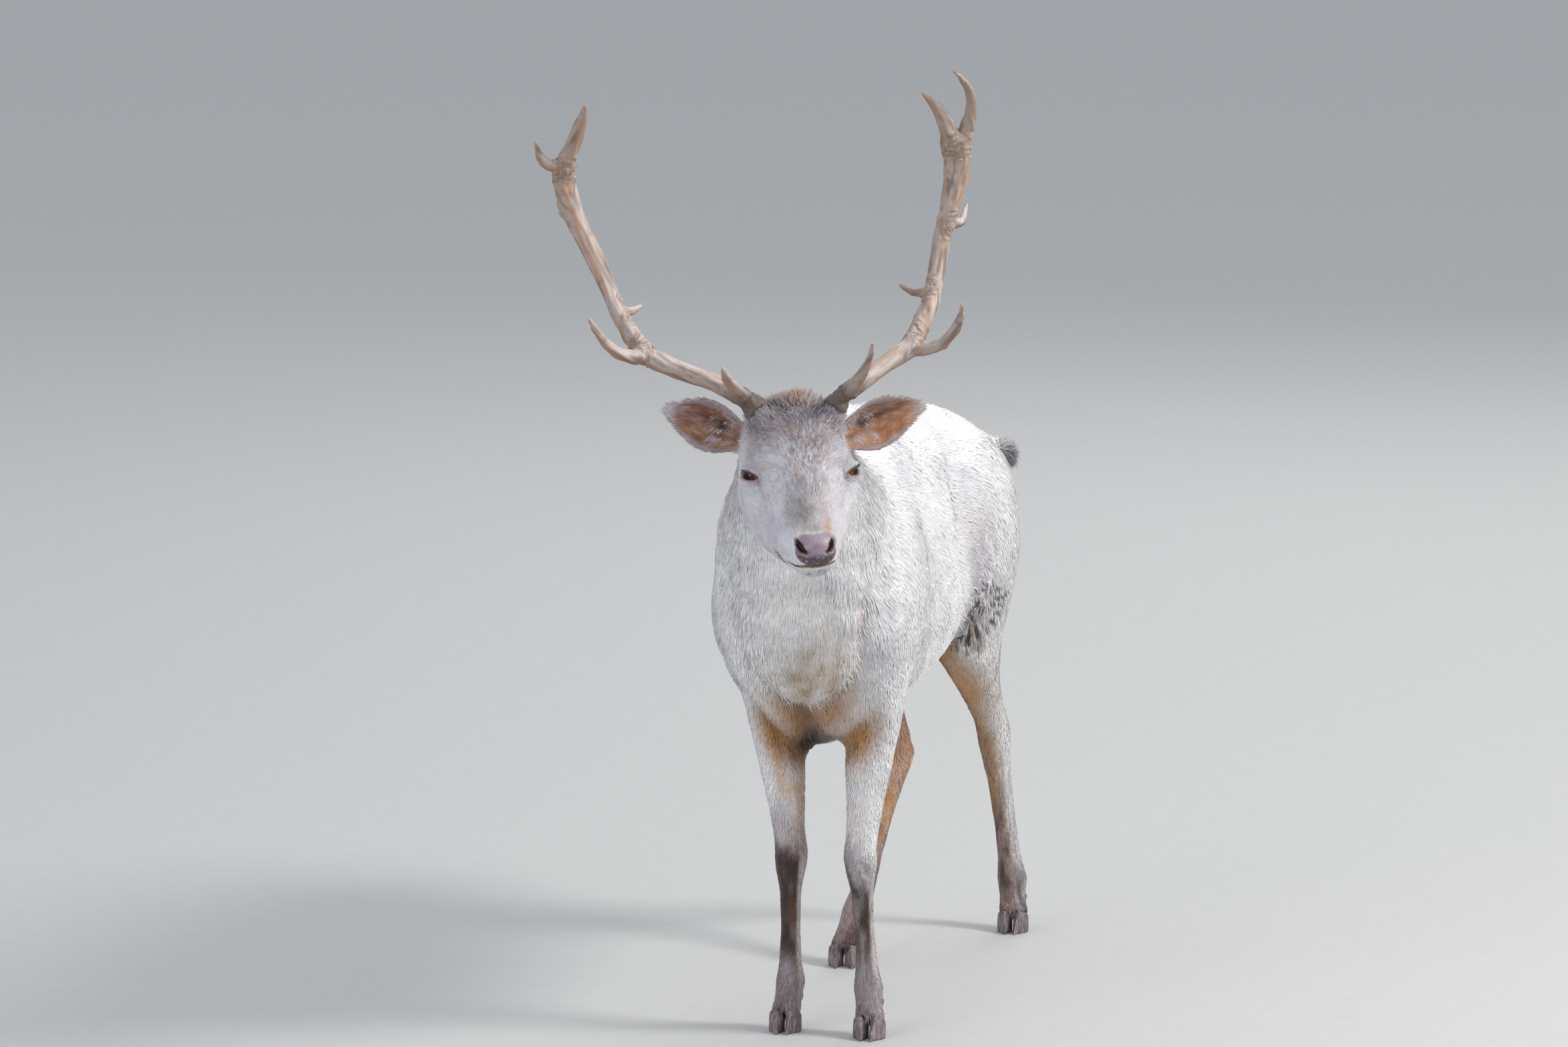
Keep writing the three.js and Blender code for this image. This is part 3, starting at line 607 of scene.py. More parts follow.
def face_colour(points):
    """An off-white face, grey on the forehead and nose bridge, with a tan streak down its left, all under
    painted lavender-grey shade that is deepest on the right cheek and round the eyes.
    """
    h = to_head(points)
    fine = noise(h * [1, 0.5, 1], 4.0, 14)
    broad = noise(h, 14.0, 15)
    away, share = from_line(h, NOSE_LINE)
    streak = np.exp(-((away / (6.5 + 3 * broad)) ** 2)) * (0.3 + 0.7 * share)
    specks = patches(h, SPECKS)
    # Painted shade in the eye sockets and along the tear grooves.
    eye_socket_shade = []
    for side in SIDES.values():
        eye_socket_shade.append(("9a8d94", 0.5 * line_of(h, mirrored(TEAR_GROOVE, side), 8)))
        eye_socket_shade.append(("a79aa2", 0.55 * mound(h, (62 * side, 12, 22), (16, 22, 8))))
    return tint(
        plain(WHITE, len(h)),
        # painted shade: a light lavender-grey over the whole face
        ("c6c2cc", np.full(len(h), 0.3)),
        ("877b7e", patches(h, FOREHEAD) * (0.6 + 0.7 * fine) * (0.7 + 0.7 * broad)),
        ("a97f66", patches(h, BROWN_SPOTS) * (0.4 + 0.8 * fine)),
        ("8c7d76", patches(h, BRIDGE) * (0.45 + 0.6 * fine)),
        (ORANGE, streak * (0.55 + 0.5 * fine)),
        ("b07546", patches(h, POLL_SPOTS) * (0.5 + 0.9 * fine)),
        # painted shade: lavender-grey on the cheeks and in broad patches over the face
        ("c9c6d2", patches(h, CHEEK_SHADE) + 0.45 * ease(broad, 0.35, 0.7)),
        *eye_socket_shade,
        (TAN, patches(h, JAWS) * fine * 0.7),
        (DARK, 1.3 * ease(noise(h, 2.6, 16) + 0.35 * specks, 0.62, 0.85) * specks),
    )


def bare_face(h):
    """Where the face has no hair: the nose pad, and the mouth's edge. The lids are added later."""
    pad = np.abs((h[:, 0] + 3) / 27) ** 2.6 + np.abs((h[:, 2] + 5) / 16.5) ** 2.6
    pad = ease(pad, 1.2, 0.85) * (h[:, 1] < -132)
    away, _ = from_line(h, MOUTH)
    lips = ease(away, 4.0, 2.0) * ease(h[:, 1], -120, -135)
    return np.maximum(pad, lips)


# ---- The face's own lines ----

MOUTH = [(-45, -108, -45), (-41, -125, -40), (-31, -148, -31), (-17, -163, -24), (2, -166, -21.5),
         (20, -158, -23), (33, -143, -32), (41, -124, -41), (43, -108, -47)]
NOSTRIL = [(26.5, -137, 5), (24.5, -145, 1.5), (19.5, -153.5, -3), (13, -158.5, -5.5)]  # from the midline
NOSE_MIDDLE = -3.0
LID_WAY = unit(np.array([0.78, -0.52, 0.36]))  # out through the left pupil
SLIT_WAY = np.array([0.577, 0.815, -0.054])  # along the left slit, from its inner corner
LID_SIDE, LID_UP, LID_DOWN, LID_TILT = (math.radians(a) for a in (46, 15, 12, 11))
TEAR_GROOVE = [(60, -17, 6), (57, -30, 6), (54, -44, 3), (50, -54, -4)]


def eye_centre(side):
    return EYE_CENTRE * [side, 1, 1]


def mirrored(path, side, about=0.0):
    return [(about + side * x, y, z) for x, y, z in path]


def eye_axes(side):
    """Along the slit from its inner corner, up across it, and out through the pupil."""
    way = LID_WAY * [side, 1, 1]
    along = SLIT_WAY * [side, 1, 1]
    along = unit(along - way * (along @ way))
    up = np.cross(way, along)
    up *= np.sign(up[2])
    turned = along * math.cos(LID_TILT) - up * math.sin(LID_TILT)
    return turned, up * math.cos(LID_TILT) + along * math.sin(LID_TILT), way


def lid_ring(a, b):
    """1 on the lids' edge, less between them, for angles along and up from the pupil."""
    reach = np.where(b > 0, LID_UP, LID_DOWN)
    return (np.abs(a / LID_SIDE) ** 2.4 + np.abs(b / reach) ** 2.0) ** (1 / 2.1)


def from_lids(h, side):
    """Distance from the eyeball's middle, and from the lids' edge, in mm, more outside it."""
    along, up, way = eye_axes(side)
    arm = h - eye_centre(side)
    reach = np.linalg.norm(arm, axis=1)
    d = arm / np.maximum(reach, 1e-6)[:, None]
    a = np.arctan2(d @ along, d @ way)
    b = np.arcsin(np.clip(d @ up, -1, 1))
    step = 0.01
    ring = lid_ring(a, b)
    slope = np.hypot(lid_ring(a + step, b) - ring, lid_ring(a, b + step) - ring) / (step * EYE_RADIUS)
    edge = np.clip((ring - 1) / np.maximum(slope, 1e-3), -12, 60)
    edge[d @ way < 0] = 60
    return reach, edge, d, b


# ---- Skin ----

# For each part of the body: how far its facets are softened, how deep its coat is, how long its
# hair is and how wide a tuft of it, all in mm.
FLESH = {
    "head": (7.5, 2.0, 8, 0.95),
    "ear": (2.4, 0.8, 7, 0.8),
    "neck": (20, 5, 28, 2.5),
    "trunk": (22, 3.8, 26, 3.0),
    "tail": (7, 5, 22, 2.2),
    "upper": (15, 2.8, 17, 2.3),
    "lower": (6.5, 1.5, 9, 1.3),
    "pastern": (5, 1.6, 10, 1.3),
}
VOXEL = 2.6 * MM
SOFTEN_ROUNDS = 300
FULL_REACH = 22.5  # mm that so many rounds soften at full weight
KEPT_SHARE = 0.22  # of the fused skin's triangles
EASING = 25  # rounds that ease a coat measure from part to part


def kind_of(node):
    return next(kind for kind in FLESH if kind == node or node.startswith(kind) or node.endswith(kind))


FLESH_NODES = [n for n in sorted(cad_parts) if n in FLESH or n.startswith(("ear_", "leg_"))]


def nearest_solid():
    """Finds which flesh solid lies nearest to a place."""
    bm = bmesh.new()
    owners = []
    for k, node in enumerate(FLESH_NODES):
        bm.from_mesh(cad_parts[node].data)
        owners += [k] * (len(bm.faces) - len(owners))
    tree = BVHTree.FromBMesh(bm)
    bm.free()
    owners = np.array(owners)
    return lambda points: owners[[tree.find_nearest(p)[2] for p in points.tolist()]]


owner_at = nearest_solid()


def by_kind(owners, column):
    values = np.array([FLESH[kind_of(node)][column] for node in FLESH_NODES], float)
    return values[owners]


def subdivide_near(shape, centres, radius):
    bm = bmesh.new()
    bm.from_mesh(shape.data)
    spots = [Vector(c) for c in centres]
    edges = [e for e in bm.edges if any((e.verts[0].co - c).length < radius for c in spots)]
    bmesh.ops.subdivide_edges(bm, edges=edges, cuts=1, use_grid_fill=True)
    bmesh.ops.triangulate(bm, faces=[f for f in bm.faces if len(f.verts) > 4])
    bm.to_mesh(shape.data)
    bm.free()


# Muscle and bone under the coat: place, measured sideways from the spine, radii, and height in mm.
# Each is on both sides.
BODY_FORMS = [
    ((0.125, -0.20, 0.70), (0.05, 0.05, 0.11), 5),  # shoulder blade
    ((0.14, -0.23, 0.56), (0.05, 0.05, 0.06), 5),  # point of the shoulder
    ((0.15, -0.06, 0.56), (0.06, 0.06, 0.12), -6),  # hollow behind the shoulder
    ((0.14, 0.05, 0.56), (0.07, 0.12, 0.10), 3),  # ribs
    ((0.14, 0.22, 0.64), (0.06, 0.05, 0.07), -8),  # flank
    ((0.11, 0.27, 0.74), (0.04, 0.04, 0.03), 5),  # hip bone
    ((0.07, 0.54, 0.68), (0.04, 0.04, 0.04), 4),  # pin bone
    ((0.13, 0.40, 0.56), (0.06, 0.09, 0.10), 7),  # thigh
    ((0.08, 0.50, 0.56), (0.05, 0.05, 0.09), 6),  # buttock
]
SPINE_X = {-0.3: 0.06, 0.0: 0.035, 0.17: 0.02, 0.35: 0.04, 0.6: 0.066}


def spine(y):
    return np.interp(y, list(SPINE_X), list(SPINE_X.values()))


def body_forms(points):
    heights = np.zeros(len(points))
    level = points.copy()
    level[:, 0] -= spine(points[:, 1])
    for at, radii, height in BODY_FORMS:
        for side in SIDES.values():
            heights += height * mound(level, (at[0] * side, at[1], at[2]), radii)
    for path, width, height in [
        (CHEST_CLEFT, 0.012, -20),
        (ARMPIT_LEFT, 0.013, -11),
        (ARMPIT_RIGHT, 0.013, -11),
        (NECK_CREASE, 0.012, -5),
        (NECK_FOLD, 0.018, -4),
        (SHOULDER_FOLD, 0.018, -3.5),
        (FLANK_FOLD, 0.03, -9),
        (np.array(RUFF_EDGE[4:]) + [0, 0.010, -0.016], 0.016, -11),
        (np.array(RUFF_EDGE[:4]) + [0, 0.010, -0.016], 0.020, -5),
        (np.array(RUFF_EDGE) + [0, -0.006, 0.018], 0.020, 8),
    ]:
        heights += height * line_of(points, path, width)
    for x in (0.0, 0.078):
        heights += 12 * mound(points, (x, -0.285, 0.428), (0.03, 0.035, 0.03))
    heights += 12 * mound(points, (0.055, -0.37, 0.515), (0.07, 0.06, 0.05))
    return heights


def leg_forms(points):
    """Tendon hollows behind the cannon bones, knuckles at knee and fetlock, and the cleft foot."""
    heights = np.zeros(len(points))
    for leg in LEGS:
        knee, fetlock = KNEE[leg], FETLOCK[leg]
        t = np.clip((knee[2] - points[:, 2]) / (knee[2] - fetlock[2]), 0, 1)
        bone = knee + t[:, None] * (fetlock - knee)
        arm = points - bone
        near = np.linalg.norm(arm[:, :2], axis=1) < 0.05
        near &= (points[:, 2] < knee[2] + 0.03) & (points[:, 2] > 0.02)
        shaft = ease(t, 0.08, 0.25) * ease(t, 0.98, 0.8)
        behind = np.exp(-(((arm[:, 1] - 0.006) / 0.006) ** 2) - (arm[:, 0] / 0.02) ** 8)
        heights -= near * shaft * behind * 2.4
        heights += near * 1.6 * mound(points, knee + [0, -0.022, 0.012], (0.016, 0.012, 0.018))
        for x in (0.014, -0.014):
            heights += near * 1.5 * mound(points, fetlock + [x, 0, 0], (0.012, 0.012, 0.014))
        front = from_line(points, [fetlock + [0, -0.02, -0.02], fetlock + [0, -0.03, -0.05]])[0]
        heights -= near * 2.2 * np.exp(-((front / 0.006) ** 2))
    return heights


def face_forms(h):
    """Bone and muscle under the face, in mm of height."""
    heights = np.zeros(len(h))
    for side in SIDES.values():
        for at, radii, height in [
            ((54, 6, 30), (14, 26, 12), 3.2),  # brow over the eye
            ((66, 38, 10), (12, 14, 14), -3.0),  # temple
            ((64, 4, -26), (12, 26, 8), 2.2),  # cheek bone
            ((64, 34, -52), (14, 26, 24), 2.5),  # jaw muscle
            ((50, -40, -30), (14, 26, 12), -2.5),  # hollow before the jaw muscle
            ((34, -92, -2), (9, 26, 10), -2.6),  # beside the nose bridge
            ((30, -128, -14), (10, 14, 12), 2.4),  # lip swelling under the nostril
            ((24, -138, -3), (7, 9, 8), 3.0),  # nostril's wing
        ]:
            about = NOSE_MIDDLE if at[1] < -80 else 0
            heights += height * mound(h, mirrored([at], side, about)[0], radii)
        heights -= 3.4 * line_of(h, mirrored(TEAR_GROOVE, side), 3.2)
    heights += 1.5 * mound(h, (NOSE_MIDDLE, -150, 0), (16, 14, 12))
    heights += 2.2 * mound(h, (-4, -152, -36), (20, 14, 6)) + 1.5 * mound(h, (-4, -140, -50), (18, 18, 8))
    return heights


def face_cuts(h):
    """Nostrils and mouth, each from 0 to 1."""
    nostrils = np.zeros(len(h))
    for side in SIDES.values():
        away, share = from_line(h, mirrored(NOSTRIL, side, NOSE_MIDDLE))
        wide = 2.6 + 2.0 * np.sin(np.pi * np.clip(share * 1.15, 0, 1))
        nostrils += np.exp(-((away / wide) ** 3)) * (0.4 + 0.6 * np.sin(np.pi * share) ** 0.7)
    away, share = from_line(h, MOUTH)
    mouth = np.exp(-((away / 1.8) ** 2)) * ease(np.minimum(share, 1 - share), 0, 0.3)
    return nostrils, mouth


# Distance from the lids' edge, and the lid's height over the eyeball there.
LID_HEIGHTS = [-3, -1.4, -0.5, 0.5, 2.2, 7], [-4.5, -4, -1, 1.4, 2.3, 2.2]


def sculpt_lids(points):
    """Lids that rest on the eyeballs, with a fold above them."""
    h = to_head(points)
    bare = np.zeros(len(h))
    for side in SIDES.values():
        reach, edge, d, b = from_lids(h, side)
        close = reach < 60
        lid = EYE_RADIUS + np.interp(edge, *LID_HEIGHTS)
        lid -= 1.3 * np.exp(-(((edge - 8) / 1.5) ** 2)) * ease(b, 0.0, 0.25)
        blend = ease(edge, 5.5, 14)
        wanted = lid * (1 - blend) + reach * blend
        moved = eye_centre(side) + d * wanted[:, None]
        change = close & (edge < 14)
        h[change] = moved[change]
        bare = np.maximum(bare, close * ease(edge, 3.4, 1.8))
        bare = np.maximum(bare, 0.85 * line_of(h, mirrored(TEAR_GROOVE, side), 3.6))
    return from_head(h), bare


def make_skin():
    shape = shape_of("skin", [*FLESH_NODES, "eye_left", "eye_right"], 0.8 * MM)
    remesh(shape, VOXEL)
    points = places(shape.data)
    owners = owner_at(points)
    reach = spread(by_kind(owners, 0), edges_of(shape.data), 12)
    soften(shape, SOFTEN_ROUNDS, weigh(shape, "soft", (reach / FULL_REACH) ** 2))
    shape.vertex_groups.clear()
    fine = np.array([kind_of(node) in ("head", "ear") for node in FLESH_NODES])[owners]
    thin = shape.modifiers.new("thin", "DECIMATE")
    thin.ratio = KEPT_SHARE
    thin.vertex_group = weigh(shape, "loose", np.where(fine, 0.0, 1.0))
    thin.vertex_group_factor = 1.0
    settle(shape)
    shape.vertex_groups.clear()
    eyes = [from_head(eye_centre(side)) for side in SIDES.values()]
    nose = [from_head(p) for p in [(NOSE_MIDDLE, -150, -12), (-30, -130, -32), (28, -130, -32)]]
    for centres, radius in [(eyes, 0.031), (eyes, 0.027), (nose, 0.034)]:
        subdivide_near(shape, centres, radius)
    return shape


skin = make_skin()
mesh = skin.data
edges = edges_of(mesh)
owners = owner_at(places(mesh))
kinds = np.array([kind_of(node) for node in FLESH_NODES])[owners]
depth, length, width = (spread(by_kind(owners, column), edges, EASING) for column in (1, 2, 3))
on_head = spread((kinds == "head").astype(float), edges, 6)
on_ear = spread((kinds == "ear").astype(float), edges, 2)

points = places(mesh)
h = to_head(points)
depth += 8.5 * mound(h, (0, 84, 66), (32, 22, 24)) * (1 - on_ear)
muzzle = ease(h[:, 1], -60, -130) * on_head
depth *= 1 - 0.5 * muzzle
length *= 1 - 0.55 * muzzle
width *= 1 - 0.3 * muzzle
length += 5 * ease(points[:, 2], 0.065, 0.045)
tail_end = (kinds == "tail") * ease(from_line(points, TAIL)[1], 0.45, 0.95)
depth += 4 * tail_end
above_knee = (kinds == "upper") * ease(points[:, 2], 0.44, 0.30)
length *= 1 - 0.45 * above_knee
width *= 1 - 0.4 * above_knee
points = raise_by(mesh, -depth)
for _ in range(2):
    eased = spread(points, edges, 3)
    on_body = (1 - on_head) * (1 - on_ear) * ease(points[:, 2], 0.3, 0.4)
    points = points + (eased - points) * on_body[:, None]
move(mesh, points)
on_torso = np.isin(kinds, ["trunk", "neck", "upper", "tail"]) * ease(points[:, 2], 0.30, 0.42)
on_torso = spread(on_torso.astype(float), edges, 12)
fillet(mesh, 90, on_torso)
for _ in range(3):
    fillet(mesh, 250, on_torso * ease(points[:, 1], 0.12, 0.28))
fillet(mesh, 400, on_torso * mound(points, (0.105, 0.35, 0.42), (0.07, 0.09, 0.07)))
points = places(mesh)
heights = body_forms(points) * (1 - on_head) * (1 - on_ear) + leg_forms(points)
heights += face_forms(to_head(points)) * on_head
points = raise_by(mesh, heights)
nostrils, mouth = face_cuts(to_head(points))
bare_muzzle = bare_face(to_head(points))
points = raise_by(mesh, (nostrils * -9 + mouth * -4.2) * on_head)
points, bare_lids = sculpt_lids(points)
points[:, 2] = np.maximum(points[:, 2], 0.004)
move(mesh, points)
normals = normals_of(mesh)
h = to_head(points)
bare = np.maximum.reduce([bare_lids, bare_muzzle, nostrils]) * ease(on_head, 0.3, 0.7)

# Places on the ears: along each from its root, and across it, -1 to 1 and up.
EAR_HALF_WIDTH = [17, 25, 32, 34, 31, 24, 14, 4]
ear_t, ear_v, ear_inside = np.zeros(len(points)), np.zeros(len(points)), np.zeros(len(points))
ear_along, ear_up = np.zeros((len(points), 3)), np.zeros((len(points), 3))
eye_way = {}
for side, sign in SIDES.items():
    root, tip = np.array(EAR_ROOT[side], float), np.array(EAR_TIP[side], float)
    along = unit(tip - root)
    up = unit(np.cross(EAR_FACING[side], along) * sign)
    mine = np.sign(h[:, 0]) == sign
    t = (h - root) @ along / np.linalg.norm(tip - root)
    half = np.interp(t * 7, range(8), EAR_HALF_WIDTH)
    ear_t[mine], ear_v[mine] = t[mine], ((h - root) @ up / half)[mine]
    ear_along[mine], ear_up[mine] = head_way(along), head_way(up)
    out = head_way(np.cross(along, up) * sign)
    ear_inside[mine] = (ease(normals @ out, -0.15, 0.25) * on_ear)[mine]
    eye_way[side] = head_way(eye_axes(sign)[2] + [0, 0, 0.4])


def lash_line():
    """1 along the edge of the upper lids."""
    strip = np.zeros(len(points))
    for side in SIDES.values():
        reach, edge, d, b = from_lids(h, side)
        at_edge = np.exp(-(((edge - 1.2) / 0.5) ** 2)) * (reach < 24)
        strip += at_edge * ease(b, 0.03, 0.12) * (d[:, 1] < 0.15)
    return strip


# ---- The lie of the coat ----


def lie_of_coat():
    """The way the hair points at each place on the skin, lying flat along it."""
    x = points[:, 0] - spine(points[:, 1])
    way = np.zeros((len(points), 3))
    body = {"trunk": (0, 0.9, -0.45), "neck": (0, 0.42, -0.9), "tail": (0, 1, -0.1),
            "upper": (0, 0.4, -0.92), "lower": (0, 0.12, -1), "pastern": (0, -0.1, -1)}
    for kind, flow in body.items():
        way[kinds == kind] = flow
    backwards = (0, 1, 0)
    way = towards(way, backwards, ease(normals[:, 2], 0.5, 0.9) * np.isin(kinds, ["trunk", "neck"]))
    way = towards(way, backwards, ease(-normals[:, 2], 0.4, 0.85) * (kinds == "trunk"))
    in_front = ease(-normals[:, 1], 0.35, 0.8) * ~np.isin(kinds, ["head", "ear", "tail"])
    way = towards(way, np.stack([x * 2, x * 0, x * 0 - 1], 1), in_front)
    tail = kinds == "tail"
    way[tail] = unit(points[tail] - TAIL_ROOT + (TAIL_CURL - TAIL_ROOT) * 0.3) + TAIL_DROOP
    face = np.stack([h[:, 0] * 0.012 * ease(h[:, 2], 0, 40), np.ones(len(h)), h[:, 2] * 0], 1)
    face[:, 2] -= 0.55 * ease(h[:, 2], 10, -40) + 0.25 * ease(np.abs(h[:, 0]), 30, 60)
    face[:, 0] += 0.5 * np.sign(h[:, 0]) * ease(h[:, 1], -40, 20) * ease(h[:, 2], 20, 50)
    face[:, 0] *= ease(np.abs(h[:, 0]), 0, 14)
    way[kinds == "head"] = (face @ HEAD_TURNED.T)[kinds == "head"]
    for side in SIDES:
        root, tip = from_head(EAR_ROOT[side]), from_head(EAR_TIP[side])
        mine = (kinds == "ear") & (np.sign(h[:, 0]) == SIDES[side])
        way[mine] = tip - root
    way = spread(unit(way), edges, 18)
    return unit(way - normals * (way * normals).sum(1)[:, None])


lie = lie_of_coat()

# ---- Colours of skin and coat ----


def ear_colour():
    """Tan inside with painted shade deep in its hollow, white behind, with a mauve-grey rim and a pale tip.
    """
    fine = noise(h, 3.2, 21)
    broad = noise(h, 11.0, 24)
    left_ear = (h[:, 0] > 0).astype(float)
    strands = noise(np.stack([ear_t * 26, ear_v * 30, left_ear * 50], axis=1), 2.6, 25)
    ridge = np.exp(-(((ear_v - 0.12 - 0.25 * ear_t) / 0.16) ** 2))
    ridge *= ease(ear_t, 0.2, 0.3) * ease(ear_t, 0.85, 0.6)
    hollow = np.hypot((ear_t - 0.33) * 128 / 0.55, (ear_v - 0.1) * 34)
    at_tip = ease(ear_t, 0.82, 0.97)
    rim = np.maximum(ease(np.abs(ear_v), 0.76, 0.97), at_tip)
    inside = tint(
        plain("a07862", len(h)),
        ("b57f58", left_ear),
        ("85543a", ease(broad, 0.35, 0.7) * 0.7),
        ("cb9a68", ease(-ear_v, 0.1, 0.7) * ease(fine, 0.3, 0.8) * 0.7),
        ("94664a", ease(ear_v, 0.0, 0.4) * ease(ear_t, 0.6, 0.3) * 0.6),
        ("bdb0b4", ease(strands, 0.45, 0.75) * (0.42 + 0.25 * ease(ear_v, 0, 0.5))),
        ("6f4531", ease(noise(h, 6.0, 27), 0.5, 0.75) * 0.55),
        ("4e2c1c", ridge * (0.45 + 0.35 * left_ear) * (0.5 + fine)),
        # painted shade: near-black deep in the ear's hollow
        ("2e1611", ease(hollow, 14, 6) * 0.95),
        ("b3a8ae", rim * (0.55 + 0.5 * fine)),
        ("dcd7dc", at_tip * (0.8 - 0.5 * left_ear)),
    )
    behind = plain(tint(plain(WHITE, 1), (TAN, [0.15])), len(points))
    return towards(behind, inside, ear_inside)


def marked():
    """The coat's colours at each place on the skin."""
    colours = tint(body_colour(points, normals), (face_colour(points), on_head))
    return tint(colours, (ear_colour(), on_ear))


def skin_colour():
    """The coat's colours a little darker, as painted shade under the tufts, and bare skin on the nose pad
    and lids.
    """
    fine = noise(h, 2.0, 22)
    low = ease(h[:, 2], -4, -12) * ease(h[:, 1], -140, -150)
    pink = tint(
        plain("75656f", len(h)),
        ("a0929d", noise(h, 8.0, 23) * 0.8 + fine * 0.3),
        ("7d6972", ease(np.abs(h[:, 0] + 3), 15, 25) * 0.6),
        ("453842", low * ease(fine, 0.15, 0.5) * 0.95),
    )
    lids = []
    for side in SIDES.values():
        _, edge, d, b = from_lids(h, side)
        near = (np.sign(h[:, 0]) == side) & (np.linalg.norm(h - eye_centre(side), axis=1) < 30)
        rim = ease(edge, 2.0, 0.8) * (0.35 + 0.65 * ease(b, -0.12, 0.02))
        rim *= 0.35 + 0.65 * ease(-d[:, 1], -0.25, 0.2)
        lids += [
            ("a88a90", near * ease(edge, 4.2, 2.4) * ease(-b, -0.05, 0.1) * 0.9),
            ("2a1c1c", near * rim),
            ("8a6c70", on_head * line_of(h, mirrored(TEAR_GROOVE, side), 3.4) * 0.85),
        ]
    return tint(
        fine_marks(points, marked()) * 0.94,
        (pink, bare),
        *lids,
        # painted shade: dark red in the nostrils' openings
        ("3a1414", ease(nostrils, 0.12, 0.5) * on_head),
        ("7c5a2e", ease(mouth, 0.05, 0.3) * on_head * ease(np.abs(h[:, 0] - 4), 34, 20)),
    )


set_attribute(mesh, "marking", skin_colour())
set_attribute(mesh, "bare", bare)
region = np.where((on_head > 0.5)[:, None], HEAD_AT, [0.0, 0.0, 0.55])
set_vector(mesh, "grain", points - lie * ((points - region) * lie).sum(1)[:, None] * 0.88)

HAIR_SHADE = (0.80, 0.78, 0.77)  # of the darker hairs in a lock


def skin_material():
    paint = Paint("deer_skin")
    bare_here = paint.stored("bare")
    pores = paint.node("ShaderNodeTexVoronoi", {"feature": "F1"}, {"Vector": paint.where(), "Scale": 520.0})
    grain = paint.stored("grain", "Vector")
    fuzz = paint.lumps(620.0, 3.0, 0.6, grain)
    locks = paint.lumps(150.0, 3.0, 0.6, grain)
    speckle = paint.lumps(260.0, 4.0)
    colour = paint.stored("marking", "Color")
    colour = paint.mix(colour, (0.45, 0.38, 0.40), speckle.between(0.6, 0.78) * bare_here * 0.5, "MULTIPLY")
    hairy = fuzz.between(0.45, 0.8) * (1 - bare_here)
    colour = paint.mix(colour, HAIR_SHADE, hairy * 0.35, "MULTIPLY")
    height = pores * bare_here * 0.6 + (fuzz * 0.5 + locks) * (1 - bare_here)
    paint.set(Base_Color=colour, Roughness=0.75 - bare_here * 0.38, Specular_IOR_Level=0.45)
    paint.set(Normal=paint.bump(height, 0.6 * MM, 0.7))
    return paint.material


SKIN = skin_material()
as_piece(skin, SKIN, "coat", *FLESH_NODES)

# ---- Coat: tapered tufts over the skin ----


def coat_material():
    paint = Paint("deer_coat")
    colour = paint.stored("marking", "Color")
    strands = paint.lumps(1.6, 3.0, 0.6, paint.stored("grain", "Vector"))
    colour = paint.mix(colour, HAIR_SHADE, strands.between(0.45, 0.8) * 0.3, "MULTIPLY")
    paint.set(Base_Color=colour, Roughness=0.6 + strands * 0.25, Normal=paint.bump(strands, 0.25 * MM, 0.5))
    paint.set(Specular_IOR_Level=0.25, Sheen_Weight=0.25, Sheen_Roughness=0.5)
    return paint.material


COAT = coat_material()
TRIANGLES = triangles_of(mesh)
A, B, C = (points[TRIANGLES[:, k]] for k in range(3))
AREAS = np.linalg.norm(np.cross(B - A, C - A), axis=1) / 2
SKIN_TREE = BVHTree.FromPolygons(points.tolist(), TRIANGLES.tolist())
# A tuft is a root, the middle's left and right, and a tip. The first two faces are its underside.
TUFT_FACES = np.array([[0, 3, 1], [0, 2, 3], [0, 1, 2], [3, 2, 1]])
TUFT_PATCH = np.array([[0, -1], [-1, 0], [1, 0], [0, 1]]) * 0.0015
TUFT_GRAIN = np.array([[1.5, 0, 0], [0, 0.4, 0], [3, 0.4, 0], [1.5, 1, 0]])
TUFT_LIGHT = np.array([0.93, 0.98, 0.98, 1.02])  # from its root to its tip
FROM_TIP = np.array([0.15, 0.45, 0.45, 0.75])  # how much of the colour under its tip each corner takes
ROOT_DEPTH = 0.5 * MM
MIDDLE_AT = 0.42  # how far along a tuft is widest


def scatter(weight, count):
    """Roots spread at random over the skin, as triangle numbers and shares of its three corners."""
    sums = np.cumsum(AREAS * np.maximum(weight[TRIANGLES].mean(1), 0))
    at = (np.arange(count) + rng.random(count)) / count * sums[-1]
    picked = np.searchsorted(sums, at).clip(0, len(sums) - 1)
    u, v = rng.random(count), rng.random(count)
    over = u + v > 1
    u[over], v[over] = 1 - u[over], 1 - v[over]
    return TRIANGLES[picked], np.stack([1 - u - v, u, v], axis=1)


def blended(values, roots):
    corner, share = roots
    if values.ndim == 1:
        return (values[corner] * share).sum(1)
    return (values[corner] * share[:, :, None]).sum(1)


def skin_under(tips):
    """The skin nearest to each tip: its place, the way it faces, and its three corners."""
    found = [SKIN_TREE.find_nearest(p) for p in tips.tolist()]
    corner = TRIANGLES[[f[2] for f in found]]
    return np.array([tuple(f[0]) for f in found]), unit(normals[corner].mean(1)), corner


def unwrap(roots, sector):
    """A place on a flat unwrap of the skin: round the limb or body, and along it."""
    place = blended(sector, roots)
    low, high = sector.min(0), sector.max(0)
    return 0.004 + 0.992 * (place - low) / (high - low)


